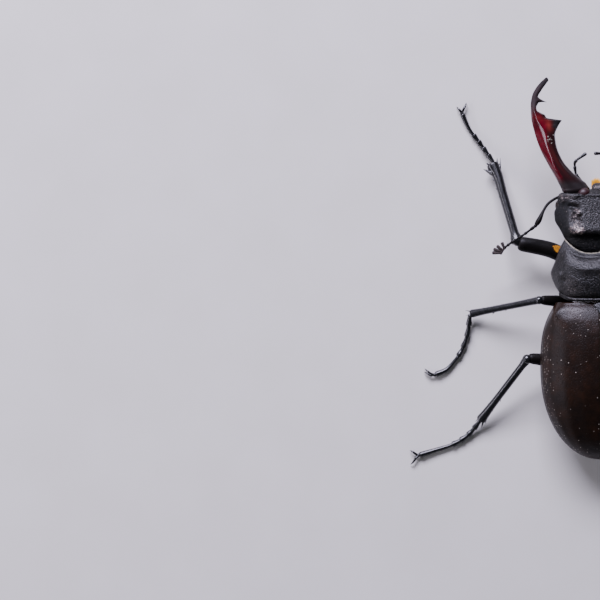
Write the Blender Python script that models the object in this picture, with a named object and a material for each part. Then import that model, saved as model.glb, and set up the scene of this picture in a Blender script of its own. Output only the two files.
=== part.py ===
"""A male stag beetle at life size, standing with its legs spread.

Lengths are in millimetres and turned to metres when a mesh is finished. The body is drawn in
its own frame: +X is the beetle's left, -Y is forward, +Z is up with the ground at 0, and Y = 0
is where the pronotum meets the wing cases. The empty "beetle" moves that frame so that the
origin lies under the middle of the whole animal.
"""

import math

import bmesh
import bpy
from mathutils import Matrix, Vector

MM = 0.001
SIDES = ((1, "left"), (-1, "right"))

# Body outline, seen from above
FRAME_SHIFT_Y = 5.0  # from the body frame to the origin under the middle
ELYTRA_BASE_Y = 0.25
ELYTRA_LENGTH = 26.5
ELYTRA_HALF_WIDTH = 10.3
ELYTRA_WIDEST = 0.45  # share of the length where they are widest
SHOULDER_SHARE = 0.757  # half width at the shoulders, as a share of the widest
ELYTRON_THICKNESS = 0.7
SCUTELLUM_LENGTH = 2.6
SCUTELLUM_HALF_WIDTH = 1.9
SUTURE_GAP = 0.24
PLATE_GAP = 0.3  # between one body plate and the next
JOINT_GAP = 0.2  # between two lengths of a limb
SOCKET_GAP = 0.3  # round an eye or a coxa

# Heights above the ground, against the share of the wing cases' length
ELYTRA_TOP = [(0, 11.3), (0.1, 12.3), (0.3, 13.0), (0.5, 12.8), (0.7, 11.7), (0.86, 9.9), (0.95, 8.0), (1, 6.2)]
ELYTRA_MARGIN = [(0, 7.5), (0.3, 6.7), (0.7, 6.2), (1, 5.6)]
BELLY = [(0, 3.9), (0.06, 3.1), (0.35, 2.9), (0.6, 3.1), (0.82, 3.7), (1, 5.2)]
THORAX_Y = (-0.1, 10.4)
ABDOMEN_Y = (10.7, 26.2)

# Prothorax: half width against Y along its side margin, then heights against the share of its length
PRONOTUM_SIDE = [(-10.6, 6.3), (-9.1, 7.1), (-7.6, 7.7), (-6.3, 8.25), (-5.2, 8.5), (-4.1, 8.4), (-2.7, 7.75),
                 (-1.2, 7.0)]
PRONOTUM_FRONT_Y = -8.6
PRONOTUM_REAR_Y = -0.35
PRONOTUM_RIDGE = [(0, 10.7), (0.25, 11.9), (0.55, 12.4), (0.85, 12.1), (1, 11.6)]
PRONOTUM_MARGIN = [(0, 8.2), (0.5, 7.8), (1, 7.5)]
PRONOTUM_EDGE = 0.4  # thickness of the side margin
PROSTERNUM_KEEL = [(0, 5.0), (0.3, 4.1), (0.7, 3.7), (1, 4.2)]
PROSTERNUM_SHARE = 0.9  # its width as a share of the pronotum's

# Head: half width, top and underside against Y
HEAD_Y = (-18.9, -7.9)
HEAD_SIDE = [(-18.9, 6.3), (-18.3, 7.3), (-17.5, 7.5), (-16.5, 7.6), (-15.2, 8.05), (-14.0, 7.95), (-12.4, 7.1),
             (-10.5, 6.1), (-7.9, 4.6)]
HEAD_TOP = [(-18.9, 9.1), (-18.0, 9.8), (-16.0, 10.3), (-13.2, 10.7), (-12.0, 10.6), (-11.2, 10.1), (-9.2, 9.9),
            (-7.9, 9.4)]
HEAD_UNDER = [(-18.9, 6.4), (-17.0, 5.2), (-14.0, 4.6), (-10.0, 4.8), (-7.9, 5.6)]
HEAD_SIDE_Z = 7.6
NECK_Y = (-12.0, -7.4)  # the stretch of the head that the prothorax makes room for
EYE = (7.1, -16.5, 7.7)
EYE_RADII = (0.95, 1.15, 1.1)
JAW_SOCKET = (4.5, -18.95, 7.8)
JAW_SOCKET_RADII = (2.5, 1.25, 1.9)
# Clypeus: Y, half width, top and underside of its three sections
CLYPEUS = [(-19.15, 1.75, 9.15, 7.7), (-19.7, 1.7, 8.95, 7.6), (-20.3, 1.25, 8.3, 7.4)]
MOUTH_BRUSH = [(0, -19.3, 6.75), (0, -20.2, 6.75), (0, -20.9, 6.7)]

# Left mandible: its outer and inner edges seen from above, at matching shares of the length
MANDIBLE_OUTER = [(6.8, -19.15), (7.8, -21.0), (9.2, -23.4), (10.5, -25.9), (11.5, -28.7), (12.1, -31.3),
                  (12.2, -33.3), (11.95, -34.9), (11.3, -36.1), (10.45, -37.15), (9.35, -38.15)]
MANDIBLE_INNER = [(2.1, -19.35), (4.3, -21.3), (6.7, -24.0), (7.75, -26.4), (8.2, -28.9), (9.6, -31.4),
                  (10.9, -33.2), (11.0, -34.6), (10.5, -35.8), (9.85, -36.75), (9.1, -37.75)]
MANDIBLE_DEPTH = [(0, 3.4), (0.12, 2.9), (0.3, 2.3), (0.5, 2.0), (0.7, 1.3), (0.9, 0.8), (1, 0.5)]
MANDIBLE_HEIGHT = [(0, 7.8), (0.3, 8.7), (0.6, 9.3), (0.85, 9.1), (1, 8.6)]
# Knob and teeth of its inner edge: share where each starts, where its point is and where it ends, and its reach.
# The notch between the teeth reaches the other way.
KNOB = (-0.02, 0.05, 0.13, 0.4)
MEDIAN_TOOTH = (0.37, 0.47, 0.505, 2.3)
NOTCH = (0.505, 0.55, 0.625, -0.75)
FORK_TOOTH = (0.635, 0.672, 0.71, 1.6)

# Left antenna and palps
SCAPE = [(7.75, -17.85, 7.2), (9.2, -16.3, 7.9), (10.25, -14.5, 8.3), (11.3, -12.95, 8.3)]
SCAPE_RADIUS = [(0, 0.3), (0.6, 0.3), (1, 0.48)]
FUNICLE = [(11.3, -12.95, 8.3), (13.3, -11.45, 7.9), (15.6, -9.95, 7.5), (17.4, -8.55, 7.3)]
FUNICLE_RADIUS = 0.28
CLUB_RADIUS = 0.42
CLUB_LEAF = 1.2
CLUB_LEAF_WAY = (0.7, -0.7, 0)
PALPS = {
    1: [(3.0, -20.3, 6.0), (4.3, -22.0, 6.3), (4.5, -23.6, 6.6), (2.5, -25.4, 6.8)],
    -1: [(-3.0, -20.3, 6.0), (-3.3, -22.4, 6.3), (-1.2, -25.3, 6.7), (1.3, -25.3, 6.9)],
}
PALP_RADIUS = 0.28

# Left legs: coxa, knee and ankle joints, then the tarsus to its last joint; radii of the femur
# at its root, belly and knee, and of the tibia near the knee, half way and at the ankle
LEGS = {
    "front": {
        "coxa": (3.0, -6.2, 3.9), "coxa_radii": (2.1, 1.5, 1.5), "bend": (8.6, -9.0, 4.6),
        "knee": (14.1, -10.1, 5.0), "ankle": (17.95, -24.0, 1.35),
        "tarsus": [(19.9, -27.2, 0.62), (21.9, -30.1, 0.45), (22.9, -32.1, 0.5)],
        "femur": (1.05, 1.15, 0.85), "tibia": (0.66, 0.68, 0.92), "spur": 0.9,
    },
    "middle": {
        "coxa": (2.9, 1.7, 3.4), "coxa_radii": (1.8, 1.4, 1.2), "bend": (6.8, -0.15, 4.7),
        "knee": (10.3, -0.4, 6.3), "ankle": (22.0, 2.0, 1.3),
        "tarsus": [(22.3, 4.9, 0.62), (23.2, 7.9, 0.45), (25.0, 10.8, 0.42), (27.0, 12.3, 0.42), (29.0, 11.9, 0.5)],
        "femur": (0.85, 1.0, 0.75), "tibia": (0.48, 0.48, 0.62), "spur": 0.6,
    },
    "hind": {
        "coxa": (3.3, 10.3, 3.4), "coxa_radii": (2.5, 1.3, 1.1), "bend": (7.6, 10.0, 4.7),
        "knee": (12.4, 9.5, 6.0), "ankle": (20.3, 20.4, 1.3),
        "tarsus": [(22.2, 22.7, 0.62), (24.8, 24.4, 0.45), (27.8, 25.4, 0.42), (30.4, 26.2, 0.5)],
        "femur": (0.9, 1.1, 0.8), "tibia": (0.55, 0.55, 0.7), "spur": 0.6,
    },
}
RIGHT_SWING = {"front": math.radians(-4), "middle": math.radians(-6), "hind": 0.0}
TARSUS_RADII = (0.36, 0.5)  # at and between the joints of its five lengths
CLAW_LENGTH = 1.5
CLAW_SPREAD = math.radians(56)
CLAW_RADII = (0.16, 0.24, 0.28, 0.3, 0.32, 0.3, 0.28, 0.24, 0.16)

# Material names: colour and roughness
FINISHES = {
    "black cuticle": ((0.012, 0.011, 0.012), 0.45),
    "granular black cuticle": ((0.02, 0.02, 0.023), 0.62),
    "chestnut wing case": ((0.035, 0.012, 0.011), 0.3),
    "crimson horn": ((0.16, 0.006, 0.012), 0.22),
    "amber bristle": ((0.75, 0.33, 0.03), 0.7),
    "eye": ((0.03, 0.02, 0.015), 0.15),
}


# ---- curves and meshes ----

def through(table, t):
    """The value at t of a smooth curve through the (t, value) pairs of a table."""
    places, values = zip(*table)
    t = min(max(t, places[0]), places[-1])
    i = max(k for k in range(len(table) - 1) if places[k] <= t)
    slopes = [(values[k + 1] - values[k]) / (places[k + 1] - places[k]) for k in range(len(table) - 1)]

    def tangent(k):
        if k in (0, len(slopes)):
            return slopes[min(k, len(slopes) - 1)]
        before, after = slopes[k - 1], slopes[k]
        return 0 if before * after <= 0 else 2 * before * after / (before + after)

    step = places[i + 1] - places[i]
    s = (t - places[i]) / step
    return (
        values[i] * (1 + 2 * s) * (1 - s) ** 2
        + values[i + 1] * s * s * (3 - 2 * s)
        + step * (tangent(i) * s * (1 - s) ** 2 - tangent(i + 1) * s * s * (1 - s))
    )


def curve_through(points, count):
    """count points at even steps of the parameter on a smooth curve through a few points."""
    axes = [list(enumerate(values)) for values in zip(*points)]
    last = len(points) - 1
    return [Vector([through(axis, last * k / (count - 1)) for axis in axes]) for k in range(count)]


def on_side(point, side):
    """A left-hand point, or its mirror image on the right (side -1)."""
    return Vector((side * point[0], *point[1:]))


def arch(half_width, height, share, power=2.3):
    """A point (x, z) of a flattened arch: share 0 at its crown, 1 at its foot."""
    turn = share * math.pi / 2
    return half_width * math.sin(turn) ** (2 / power), height * math.cos(turn) ** (2 / power)


def both_halves(half, y):
    """A closed ring from the (x, z) points of its left half, crown first."""
    return [Vector((x, y, z)) for x, z in half] + [Vector((-x, y, z)) for x, z in half[-2:0:-1]]


def loft(sections):
    """A closed skin over sections, each a ring of the same number of points."""
    bm = bmesh.new()
    ring = bmesh.ops.create_circle(bm, cap_ends=True, segments=len(sections[0]), radius=1)["verts"]
    for vert, point in zip(ring, sections[0]):
        vert.co = point
    rim = list(bm.edges)
    for section in sections[1:]:
        made = bmesh.ops.extrude_edge_only(bm, edges=rim)["geom"]
        new = {v for v in made if isinstance(v, bmesh.types.BMVert)}
        ring = [next(e.other_vert(v) for e in v.link_edges if e.other_vert(v) in new) for v in ring]
        rim = [e for e in made if isinstance(e, bmesh.types.BMEdge) and set(e.verts) <= new]
        for vert, point in zip(ring, section):
            vert.co = point
    bmesh.ops.holes_fill(bm, edges=rim, sides=0)
    bmesh.ops.recalc_face_normals(bm, faces=bm.faces)
    return bm


def limb(points, widths, heights, sides, start=None, end=None, round_start=False, round_end=False, level=None):
    """A limb: oval rings square to a line of points.

    start and end are the normals of mitred ends, and a round end is drawn in over two more
    rings. Nothing goes below level, so a foot is flat there.
    """
    rings = []
    for i, centre in enumerate(points):
        along = (points[min(i + 1, len(points) - 1)] - points[max(i - 1, 0)]).normalized()
        across = along.cross(Vector((0, 0, 1))).normalized()
        up = across.cross(along)
        plane = {0: start, len(points) - 1: end}.get(i)
        ring = []
        for k in range(sides):
            turn = 2 * math.pi * (k + 0.5) / sides
            out = across * widths[i] * math.cos(turn) + up * heights[i] * math.sin(turn)
            if plane is not None:
                out -= along * out.dot(plane) / along.dot(plane)
            ring.append(centre + out)
        rings.append(ring)
    if round_start:
        rings = rounded(rings[0], points[0], points[0] - points[1], heights[0])[::-1] + rings
    if round_end:
        rings += rounded(rings[-1], points[-1], points[-1] - points[-2], heights[-1])
    if level is not None:
        for point in (p for ring in rings for p in ring):
            point.z = max(point.z, level)
    return loft(rings)


def rounded(ring, centre, outward, radius):
    """Two smaller rings that round off a limb's end."""
    outward = outward.normalized()
    turns = (math.radians(40), math.radians(70))
    return [[centre + (p - centre) * math.cos(t) + outward * radius * math.sin(t) for p in ring] for t in turns]


def ellipsoid(centre, radii, grow=0.0):
    bm = bmesh.new()
    bmesh.ops.create_uvsphere(bm, u_segments=8, v_segments=6, radius=1)
    bmesh.ops.scale(bm, vec=[r + grow for r in radii], verts=bm.verts)
    bmesh.ops.translate(bm, vec=centre, verts=bm.verts)
    return bm


def grow_spike(bm, near, direction, length, tip):
    """Draws the face nearest a point, among those that look along direction, out into a spike."""
    direction = Vector(direction).normalized()
    facing = [f for f in bm.faces if len(f.verts) == 4 and f.normal.dot(direction) > 0.55]
    face = min(facing, key=lambda f: (f.calc_center_median() - near).length)
    face = bmesh.ops.extrude_discrete_faces(bm, faces=[face])["faces"][0]
    middle = face.calc_center_median()
    for vert in face.verts:
        vert.co = middle + (vert.co - middle) * tip + direction * length
    bm.normal_update()


# ---- objects ----

def finish_material(name):
    """The named finish, made on first use."""
    if name in bpy.data.materials:
        return bpy.data.materials[name]
    colour, roughness = FINISHES[name]
    made = bpy.data.materials.new(name)
    made.use_nodes = True
    shader = made.node_tree.nodes["Principled BSDF"]
    shader.inputs["Base Color"].default_value = (*colour, 1)
    shader.inputs["Roughness"].default_value = roughness
    shader.inputs["Metallic"].default_value = 0.0
    return made


def add_object(name, bm, origin, parent):
    """Turns a bmesh in millimetres into an object whose origin is at a point of the body."""
    bmesh.ops.translate(bm, vec=-Vector(origin), verts=bm.verts)
    bmesh.ops.scale(bm, vec=(MM, MM, MM), verts=bm.verts)
    mesh = bpy.data.meshes.new(name)
    bm.to_mesh(mesh)
    bm.free()
    mesh.shade_smooth()
    mesh.set_sharp_from_angle(angle=math.radians(40))
    made = bpy.data.objects.new(name, mesh)
    made.parent = parent
    made.location = Vector(origin) * MM
    bpy.context.scene.collection.objects.link(made)
    return made


def add_piece(name, bm, finish, origin, parent, cutters=()):
    """A sub-part of the beetle, less the room that its neighbours need."""
    if cutters:
        bmesh.ops.triangulate(bm, faces=bm.faces)
    made = add_object(name, bm, origin, parent)
    made.data.materials.append(finish_material(finish))
    for cutter in cutters:
        cut = made.modifiers.new(cutter.name, "BOOLEAN")
        cut.operation = "DIFFERENCE"
        cut.object = cutter


def add_room(name, bm, origin, parent):
    """A hidden cutter."""
    bmesh.ops.triangulate(bm, faces=bm.faces)
    made = add_object("room_" + name, bm, origin, parent)
    made.hide_render = True
    made.display_type = "WIRE"
    return made


# ---- wing cases, thorax and abdomen ----

def elytra_half_width(t):
    """Half width of both wing cases together, against the share of their length."""
    if t < ELYTRA_WIDEST:
        return ELYTRA_HALF_WIDTH * (1 - (1 - SHOULDER_SHARE) * (1 - t / ELYTRA_WIDEST) ** 2)
    s = (t - ELYTRA_WIDEST) / (1 - ELYTRA_WIDEST)
    return ELYTRA_HALF_WIDTH * math.sqrt(max(0.0, 1 - s**2.15))


def elytra_shares(front, rear):
    """Shares of the length, packed towards the rounded tip."""
    ahead = [ELYTRA_WIDEST * k / front for k in range(front)]
    behind = [math.sin(math.radians(82) * k / rear) for k in range(rear + 1)]
    return ahead + [ELYTRA_WIDEST + (1 - ELYTRA_WIDEST) * s for s in behind]


def elytron(side):
    """One wing case: a shell from the suture to the side margin."""
    steps = 7
    sections = []
    for t in elytra_shares(5, 7):
        y = ELYTRA_BASE_Y + ELYTRA_LENGTH * t
        width, margin = elytra_half_width(t), through(ELYTRA_MARGIN, t)
        height = through(ELYTRA_TOP, t) - margin
        thick = min(ELYTRON_THICKNESS, 0.45 * width, 0.6 * height)
        outer = [arch(width, height, k / steps) for k in range(steps + 1)]
        inner = [arch(width - thick, height - thick, k / steps) for k in range(steps, -1, -1)]
        sections.append([Vector((side * (x + SUTURE_GAP / 2), y, margin + z)) for x, z in outer + inner])
    return loft(sections)


def trunk(y_start, y_end, rows):
    """The body under the wing cases: its back fits below them, its belly is a shallower arch."""
    steps = 5
    inset = ELYTRON_THICKNESS + PLATE_GAP
    sections = []
    for row in range(rows + 1):
        y = y_start + (y_end - y_start) * row / rows
        t = max(0.0, (y - ELYTRA_BASE_Y) / ELYTRA_LENGTH)
        margin = through(ELYTRA_MARGIN, t)
        width = elytra_half_width(t) - inset - SUTURE_GAP / 2
        height = max(0.15, through(ELYTRA_TOP, t) - margin - inset)
        depth = margin - through(BELLY, t)
        back = [arch(width, height, k / steps) for k in range(steps + 1)]
        belly = [arch(width - PLATE_GAP, -depth, k / steps, 2.6) for k in range(steps, -1, -1)]
        sections.append(both_halves([(x, margin + z) for x, z in back + belly], y))
    return loft(sections)


def scutellum(grow=0.0):
    """The small shield between the wing case bases, flush with them."""
    sections = []
    for share, back_off in ((0, -grow), (0.35, 0), (0.7, 0), (0.95, grow)):
        half = SCUTELLUM_HALF_WIDTH * math.sqrt(1 - share**2) + grow
        y = SCUTELLUM_LENGTH * share - 0.05 + back_off
        crown = 11.25 + 0.75 * share
        top = [Vector((x * half, y, crown - 0.25 * x * x + 2 * grow)) for x in (-1, -0.5, 0, 0.5, 1)]
        under = [Vector((x * half, y, crown - 0.85 - grow)) for x in (1, 0, -1)]
        sections.append(top + under)
    return loft(sections)


# ---- prothorax ----

def prothorax_y(share, v):
    """Y at a share of the half width, between the front margin (v 0) and the rear one (v 1).

    The front margin has a low lobe in the middle, and corners that reach round the head.
    """
    x_front, x_rear = abs(share) * PRONOTUM_SIDE[0][1], abs(share) * PRONOTUM_SIDE[-1][1]
    lobe = 0.25 * (1 - math.cos(math.pi * min(x_front / 2.1, 1))) / 2
    corner = 2.25 * (max(0.0, x_front - 2.1) / 4.2) ** 2.3
    rear_corner = 0.85 * (max(0.0, x_rear - 4.5) / 2.5) ** 2
    return (1 - v) * (PRONOTUM_FRONT_Y + lobe - corner) + v * (PRONOTUM_REAR_Y - rear_corner)


def prothorax_half_width(v):
    first, last = PRONOTUM_SIDE[0][0], PRONOTUM_SIDE[-1][0]
    return through(PRONOTUM_SIDE, first + (last - first) * v)


def prothorax_arch(half, height, steps, power, v, edge, share=1.0):
    """Points of an arch over (height > 0) or under the prothorax, from right to left."""
    ring = []
    for k in range(-steps, steps + 1):
        x, z = arch(half, height, abs(k) / steps, power)
        x = math.copysign(x, k)
        ring.append(Vector((x, prothorax_y(x / half * share, v), edge + z)))
    return ring


def pronotum():
    rows = 7
    sections = []
    for v in (row / rows for row in range(rows + 1)):
        half, edge = prothorax_half_width(v), through(PRONOTUM_MARGIN, v)
        over = prothorax_arch(half, through(PRONOTUM_RIDGE, v) - edge, 6, 2.15, v, edge)
        shares = (0.94, 0.5, 0, -0.5, -0.94)
        under = [Vector((s * half, prothorax_y(s, v), edge - PRONOTUM_EDGE)) for s in shares]
        sections.append(over + under)
    return loft(sections)


def prosternum():
    rows = 5
    sections = []
    for v in (row / rows for row in range(rows + 1)):
        half = prothorax_half_width(v) * PROSTERNUM_SHARE
        edge = through(PRONOTUM_MARGIN, v) - PRONOTUM_EDGE - PLATE_GAP
        drop = through(PROSTERNUM_KEEL, v) - edge
        under = prothorax_arch(half, drop, 4, 2.3, v, edge, PROSTERNUM_SHARE)
        over = [Vector((s * half, prothorax_y(s * PROSTERNUM_SHARE, v), edge)) for s in (0.5, 0, -0.5)]
        sections.append(under + over)
    return loft(sections)


# ---- head and jaws ----

def head(y_from, y_to, rows, grow=0.0):
    """The head capsule, or a stretch of it grown to make room."""
    steps = 6
    sections = []
    for row in range(rows + 1):
        y = y_from + (y_to - y_from) * row / rows
        half = through(HEAD_SIDE, y) + grow
        rise = through(HEAD_TOP, y) - HEAD_SIDE_Z + grow
        drop = through(HEAD_UNDER, y) - HEAD_SIDE_Z - grow
        over = [arch(half, rise, k / steps, 2.9) for k in range(steps + 1)]
        under = [arch(half, drop, k / steps, 2.4) for k in range(steps - 1, -1, -1)]
        sections.append(both_halves([(x, HEAD_SIDE_Z + z) for x, z in over + under], y))
    return loft(sections)


def clypeus():
    """The small plate that covers the mouth between the mandibles."""
    sections = []
    for y, half, top, under in CLYPEUS:
        above = [Vector((x * half, y, top - 0.3 * x * x)) for x in (-1, -0.5, 0, 0.5, 1)]
        below = [Vector((x * half, y, under)) for x in (1, 0, -1)]
        sections.append(above + below)
    return loft(sections)


def mouth_brush():
    """The tuft of bristles below the clypeus."""
    path = [Vector(p) for p in MOUTH_BRUSH]
    return limb(path, (1.3, 1.7, 1.75), (0.45, 0.55, 0.5), 10, round_end=True)


def tooth_reach(tooth, t):
    """How far a tooth stands out of the inner edge at a share of the mandible's length."""
    start, point, end, reach = tooth
    if not start < t < end:
        return 0.0
    return reach * ((t - start) / (point - start)) ** 1.6 if t < point else reach * (end - t) / (end - point)


def inner_reach(t):
    return sum(tooth_reach(tooth, t) for tooth in (KNOB, MEDIAN_TOOTH, NOTCH, FORK_TOOTH))


def mandible_shares(rows):
    """Shares of the length, with the start, slope, point and end of each tooth in place of the nearest."""
    shares = {k / rows for k in range(rows + 1)}
    for start, point, end, _ in (MEDIAN_TOOTH, NOTCH, FORK_TOOTH):
        shares = {t for t in shares if not start - 0.02 < t < end + 0.02}
        shares |= {start, (start + point) / 2, point, end}
    return sorted(shares)


def mandible(side):
    """One antler: rings from its outer edge to its inner one, drawn out into the two large teeth."""
    edges = (MANDIBLE_OUTER, MANDIBLE_INNER)
    axes = [[(k / 10, value) for k, value in enumerate(values)] for edge in edges for values in zip(*edge)]
    sides = 8
    sections = []
    for t in mandible_shares(13):
        x_out, y_out, x_in, y_in = (through(axis, t) for axis in axes)
        outer, inner = Vector((x_out, y_out)), Vector((x_in, y_in))
        reach = (inner - outer).normalized() * inner_reach(t)
        depth, z = through(MANDIBLE_DEPTH, t), through(MANDIBLE_HEIGHT, t)
        ring = []
        for turn in (2 * math.pi * k / sides for k in range(sides)):
            across = (1 - math.cos(turn)) / 2
            flat = outer.lerp(inner, across) + reach * across**3
            ring.append(Vector((side * flat.x, flat.y, z + depth / 2 * math.sin(turn))))
        sections.append(ring)
    root = sections[0]
    middle = sum(root, Vector()) / len(root)
    for shrink, back in ((0.85, 0.4), (0.5, 0.75)):
        sections.insert(0, [middle + (p - middle) * shrink + Vector((0, back, 0)) for p in root])
    return loft(sections)


# ---- feelers ----

def scape_line(side):
    return [on_side(p, side) for p in curve_through(SCAPE, 7)]


def scape(side):
    line = scape_line(side)
    radii = [through(SCAPE_RADIUS, k / 6) for k in range(7)]
    return limb(line, radii, radii, 6, round_start=True, end=(line[-1] - line[-2]).normalized())


def antenna_club(side):
    """The stalk beyond the elbow and the comb of four leaves at its end."""
    line = [on_side(p, side) for p in curve_through(FUNICLE, 13)]
    elbow = scape_line(side)
    line[0] = line[0] + (line[1] - line[0]).normalized() * JOINT_GAP
    widths = [FUNICLE_RADIUS] * 9 + [CLUB_RADIUS] * 4
    start = (elbow[-1] - elbow[-2]).normalized()
    bm = limb(line, widths, [FUNICLE_RADIUS] * 13, 6, start=start, round_end=True)
    leaf_way = on_side(CLUB_LEAF_WAY, side)
    for root in (line[9], line[10], line[11], line[12]):
        grow_spike(bm, root + leaf_way * CLUB_RADIUS, leaf_way, CLUB_LEAF, 0.7)
    return bm


def palp(side):
    radii = [PALP_RADIUS] * 8
    return limb(curve_through(PALPS[side], 8), radii, radii, 6, round_start=True, round_end=True)


# ---- legs ----

def leg_joints(which, side):
    """A leg's joints and the normals of its mitred joints. A right leg is mirrored and swung at the coxa."""
    sizes = LEGS[which]
    hub = Vector(sizes["coxa"])
    swing = Matrix.Rotation(RIGHT_SWING[which] if side < 0 else 0.0, 3, "Z")

    def placed(point):
        return on_side(hub + swing @ (Vector(point) - hub), side)

    joints = {name: placed(sizes[name]) for name in ("coxa", "bend", "knee", "ankle")}
    joints["toes"] = [placed(p) for p in sizes["tarsus"]]
    joints["out"] = (joints["bend"] - joints["coxa"]).normalized()
    joints["hip"] = joints["coxa"] + joints["out"] * sizes["coxa_radii"][0] * 0.8
    shin = (joints["ankle"] - joints["knee"]).normalized()
    foot = (joints["toes"][0] - joints["ankle"]).normalized()
    thigh = curve_through([joints["hip"], joints["bend"], joints["knee"]], 7)
    joints["knee_plane"] = ((thigh[-1] - thigh[-2]).normalized() + shin).normalized()
    joints["ankle_plane"] = (shin + foot).normalized()
    joints["shin"] = shin
    return joints


def coxa(leg, joints):
    """The ball at the root of a leg, cut flat where the femur starts."""
    bm = ellipsoid(joints["coxa"], leg["coxa_radii"])
    out = joints["out"]
    everything = [*bm.verts, *bm.edges, *bm.faces]
    place = joints["hip"] - out * JOINT_GAP / 2
    bmesh.ops.bisect_plane(bm, geom=everything, plane_co=place, plane_no=out, clear_outer=True)
    bmesh.ops.holes_fill(bm, edges=[e for e in bm.edges if e.is_boundary], sides=0)
    bmesh.ops.recalc_face_normals(bm, faces=bm.faces)
    return bm


def femur_line(joints):
    start = joints["hip"] + joints["out"] * JOINT_GAP / 2
    end = joints["knee"] - joints["knee_plane"] * JOINT_GAP / 2
    return curve_through([start, joints["bend"], end], 7)


def femur(leg, joints):
    root, belly, knee = leg["femur"]
    widths = [through([(0, root), (0.45, belly), (1, knee)], k / 6) for k in range(7)]
    heights = [0.82 * w for w in widths]
    return limb(femur_line(joints), widths, heights, 8, start=joints["out"], end=joints["knee_plane"])


def tibia(leg, joints):
    """The shin, with a spur on each side of its end."""
    slim, waist, broad = leg["tibia"]
    knee = leg["femur"][2]
    start = joints["knee"] + joints["knee_plane"] * JOINT_GAP / 2
    end = joints["ankle"] - joints["ankle_plane"] * JOINT_GAP / 2
    shares = (0, 0.12, 0.35, 0.62, 0.86, 0.94, 1)
    line = [start.lerp(end, share) for share in shares]
    width = [(0, 0.95 * knee), (0.12, slim), (0.5, waist), (0.9, broad), (1, 0.8 * broad)]
    height = [(0, 0.8 * knee), (0.12, slim), (1, waist)]
    widths = [through(width, share) for share in shares]
    heights = [through(height, share) for share in shares]
    bm = limb(line, widths, heights, 8, start=joints["knee_plane"], end=joints["ankle_plane"])
    across = joints["shin"].cross(Vector((0, 0, 1))).normalized()
    for way in (across, -across):
        near = line[-2].lerp(line[-1], 0.5) + way * broad
        grow_spike(bm, near, way + joints["shin"], leg["spur"], 0.3)
    return bm


def tarsus_line(joints):
    start = joints["ankle"] + joints["ankle_plane"] * JOINT_GAP / 2
    return curve_through([start, *joints["toes"]], 11)


def tarsus(joints):
    """The foot: five swollen lengths that lie flat on the ground."""
    radii = [TARSUS_RADII[k % 2] for k in range(11)]
    return limb(tarsus_line(joints), radii, radii, 6, start=joints["ankle_plane"], round_end=True, level=0.0)


def claw_root(joints):
    """Where the two claws join, just ahead of the foot, and the way they point."""
    line = tarsus_line(joints)
    way = Vector((*(line[-1] - line[-2]).xy, 0)).normalized()
    root = line[-1] + way * (TARSUS_RADII[1] + JOINT_GAP + CLAW_RADII[4])
    root.z = TARSUS_RADII[1]
    return root, way


def claws(joints):
    """The pair of hooked claws, as one bow from point to point."""
    root, way = claw_root(joints)
    arms = [(Matrix.Rotation(turn, 3, "Z") @ way) * CLAW_LENGTH for turn in (CLAW_SPREAD, -CLAW_SPREAD)]
    lift, tip = Vector((0, 0, 0.12)), Vector((0, 0, -0.28))
    points, crooks = ([root + arm * share + rise for arm in arms] for share, rise in ((1, tip), (0.6, lift)))
    path = [points[0], crooks[0], root, crooks[1], points[1]]
    return limb(curve_through(path, 9), CLAW_RADII, CLAW_RADII, 5)


def add_leg(which, side, word, parent):
    """The five pieces of a leg. Returns the cutters that make room for it in the body."""
    leg, joints = LEGS[which], leg_joints(which, side)
    name_end = f"{which}_{word}"
    pieces = {
        "coxa": (coxa(leg, joints), joints["coxa"]),
        "femur": (femur(leg, joints), joints["hip"]),
        "tibia": (tibia(leg, joints), joints["knee"]),
        "tarsus": (tarsus(joints), joints["ankle"]),
        "claws": (claws(joints), claw_root(joints)[0]),
    }
    for name, (bm, origin) in pieces.items():
        add_piece(f"{name}_{name_end}", bm, "black cuticle", origin, parent)
    socket = ellipsoid(joints["coxa"], leg["coxa_radii"], SOCKET_GAP)
    wide = [1.1 * leg["femur"][1] + SOCKET_GAP] * 5
    line = [joints["coxa"].lerp(joints["hip"], 0.4), *femur_line(joints)[2:6]]
    return [
        add_room("coxa_" + name_end, socket, joints["coxa"], parent),
        add_room("femur_" + name_end, limb(line, wide, wide, 6), joints["hip"], parent),
    ]


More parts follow.
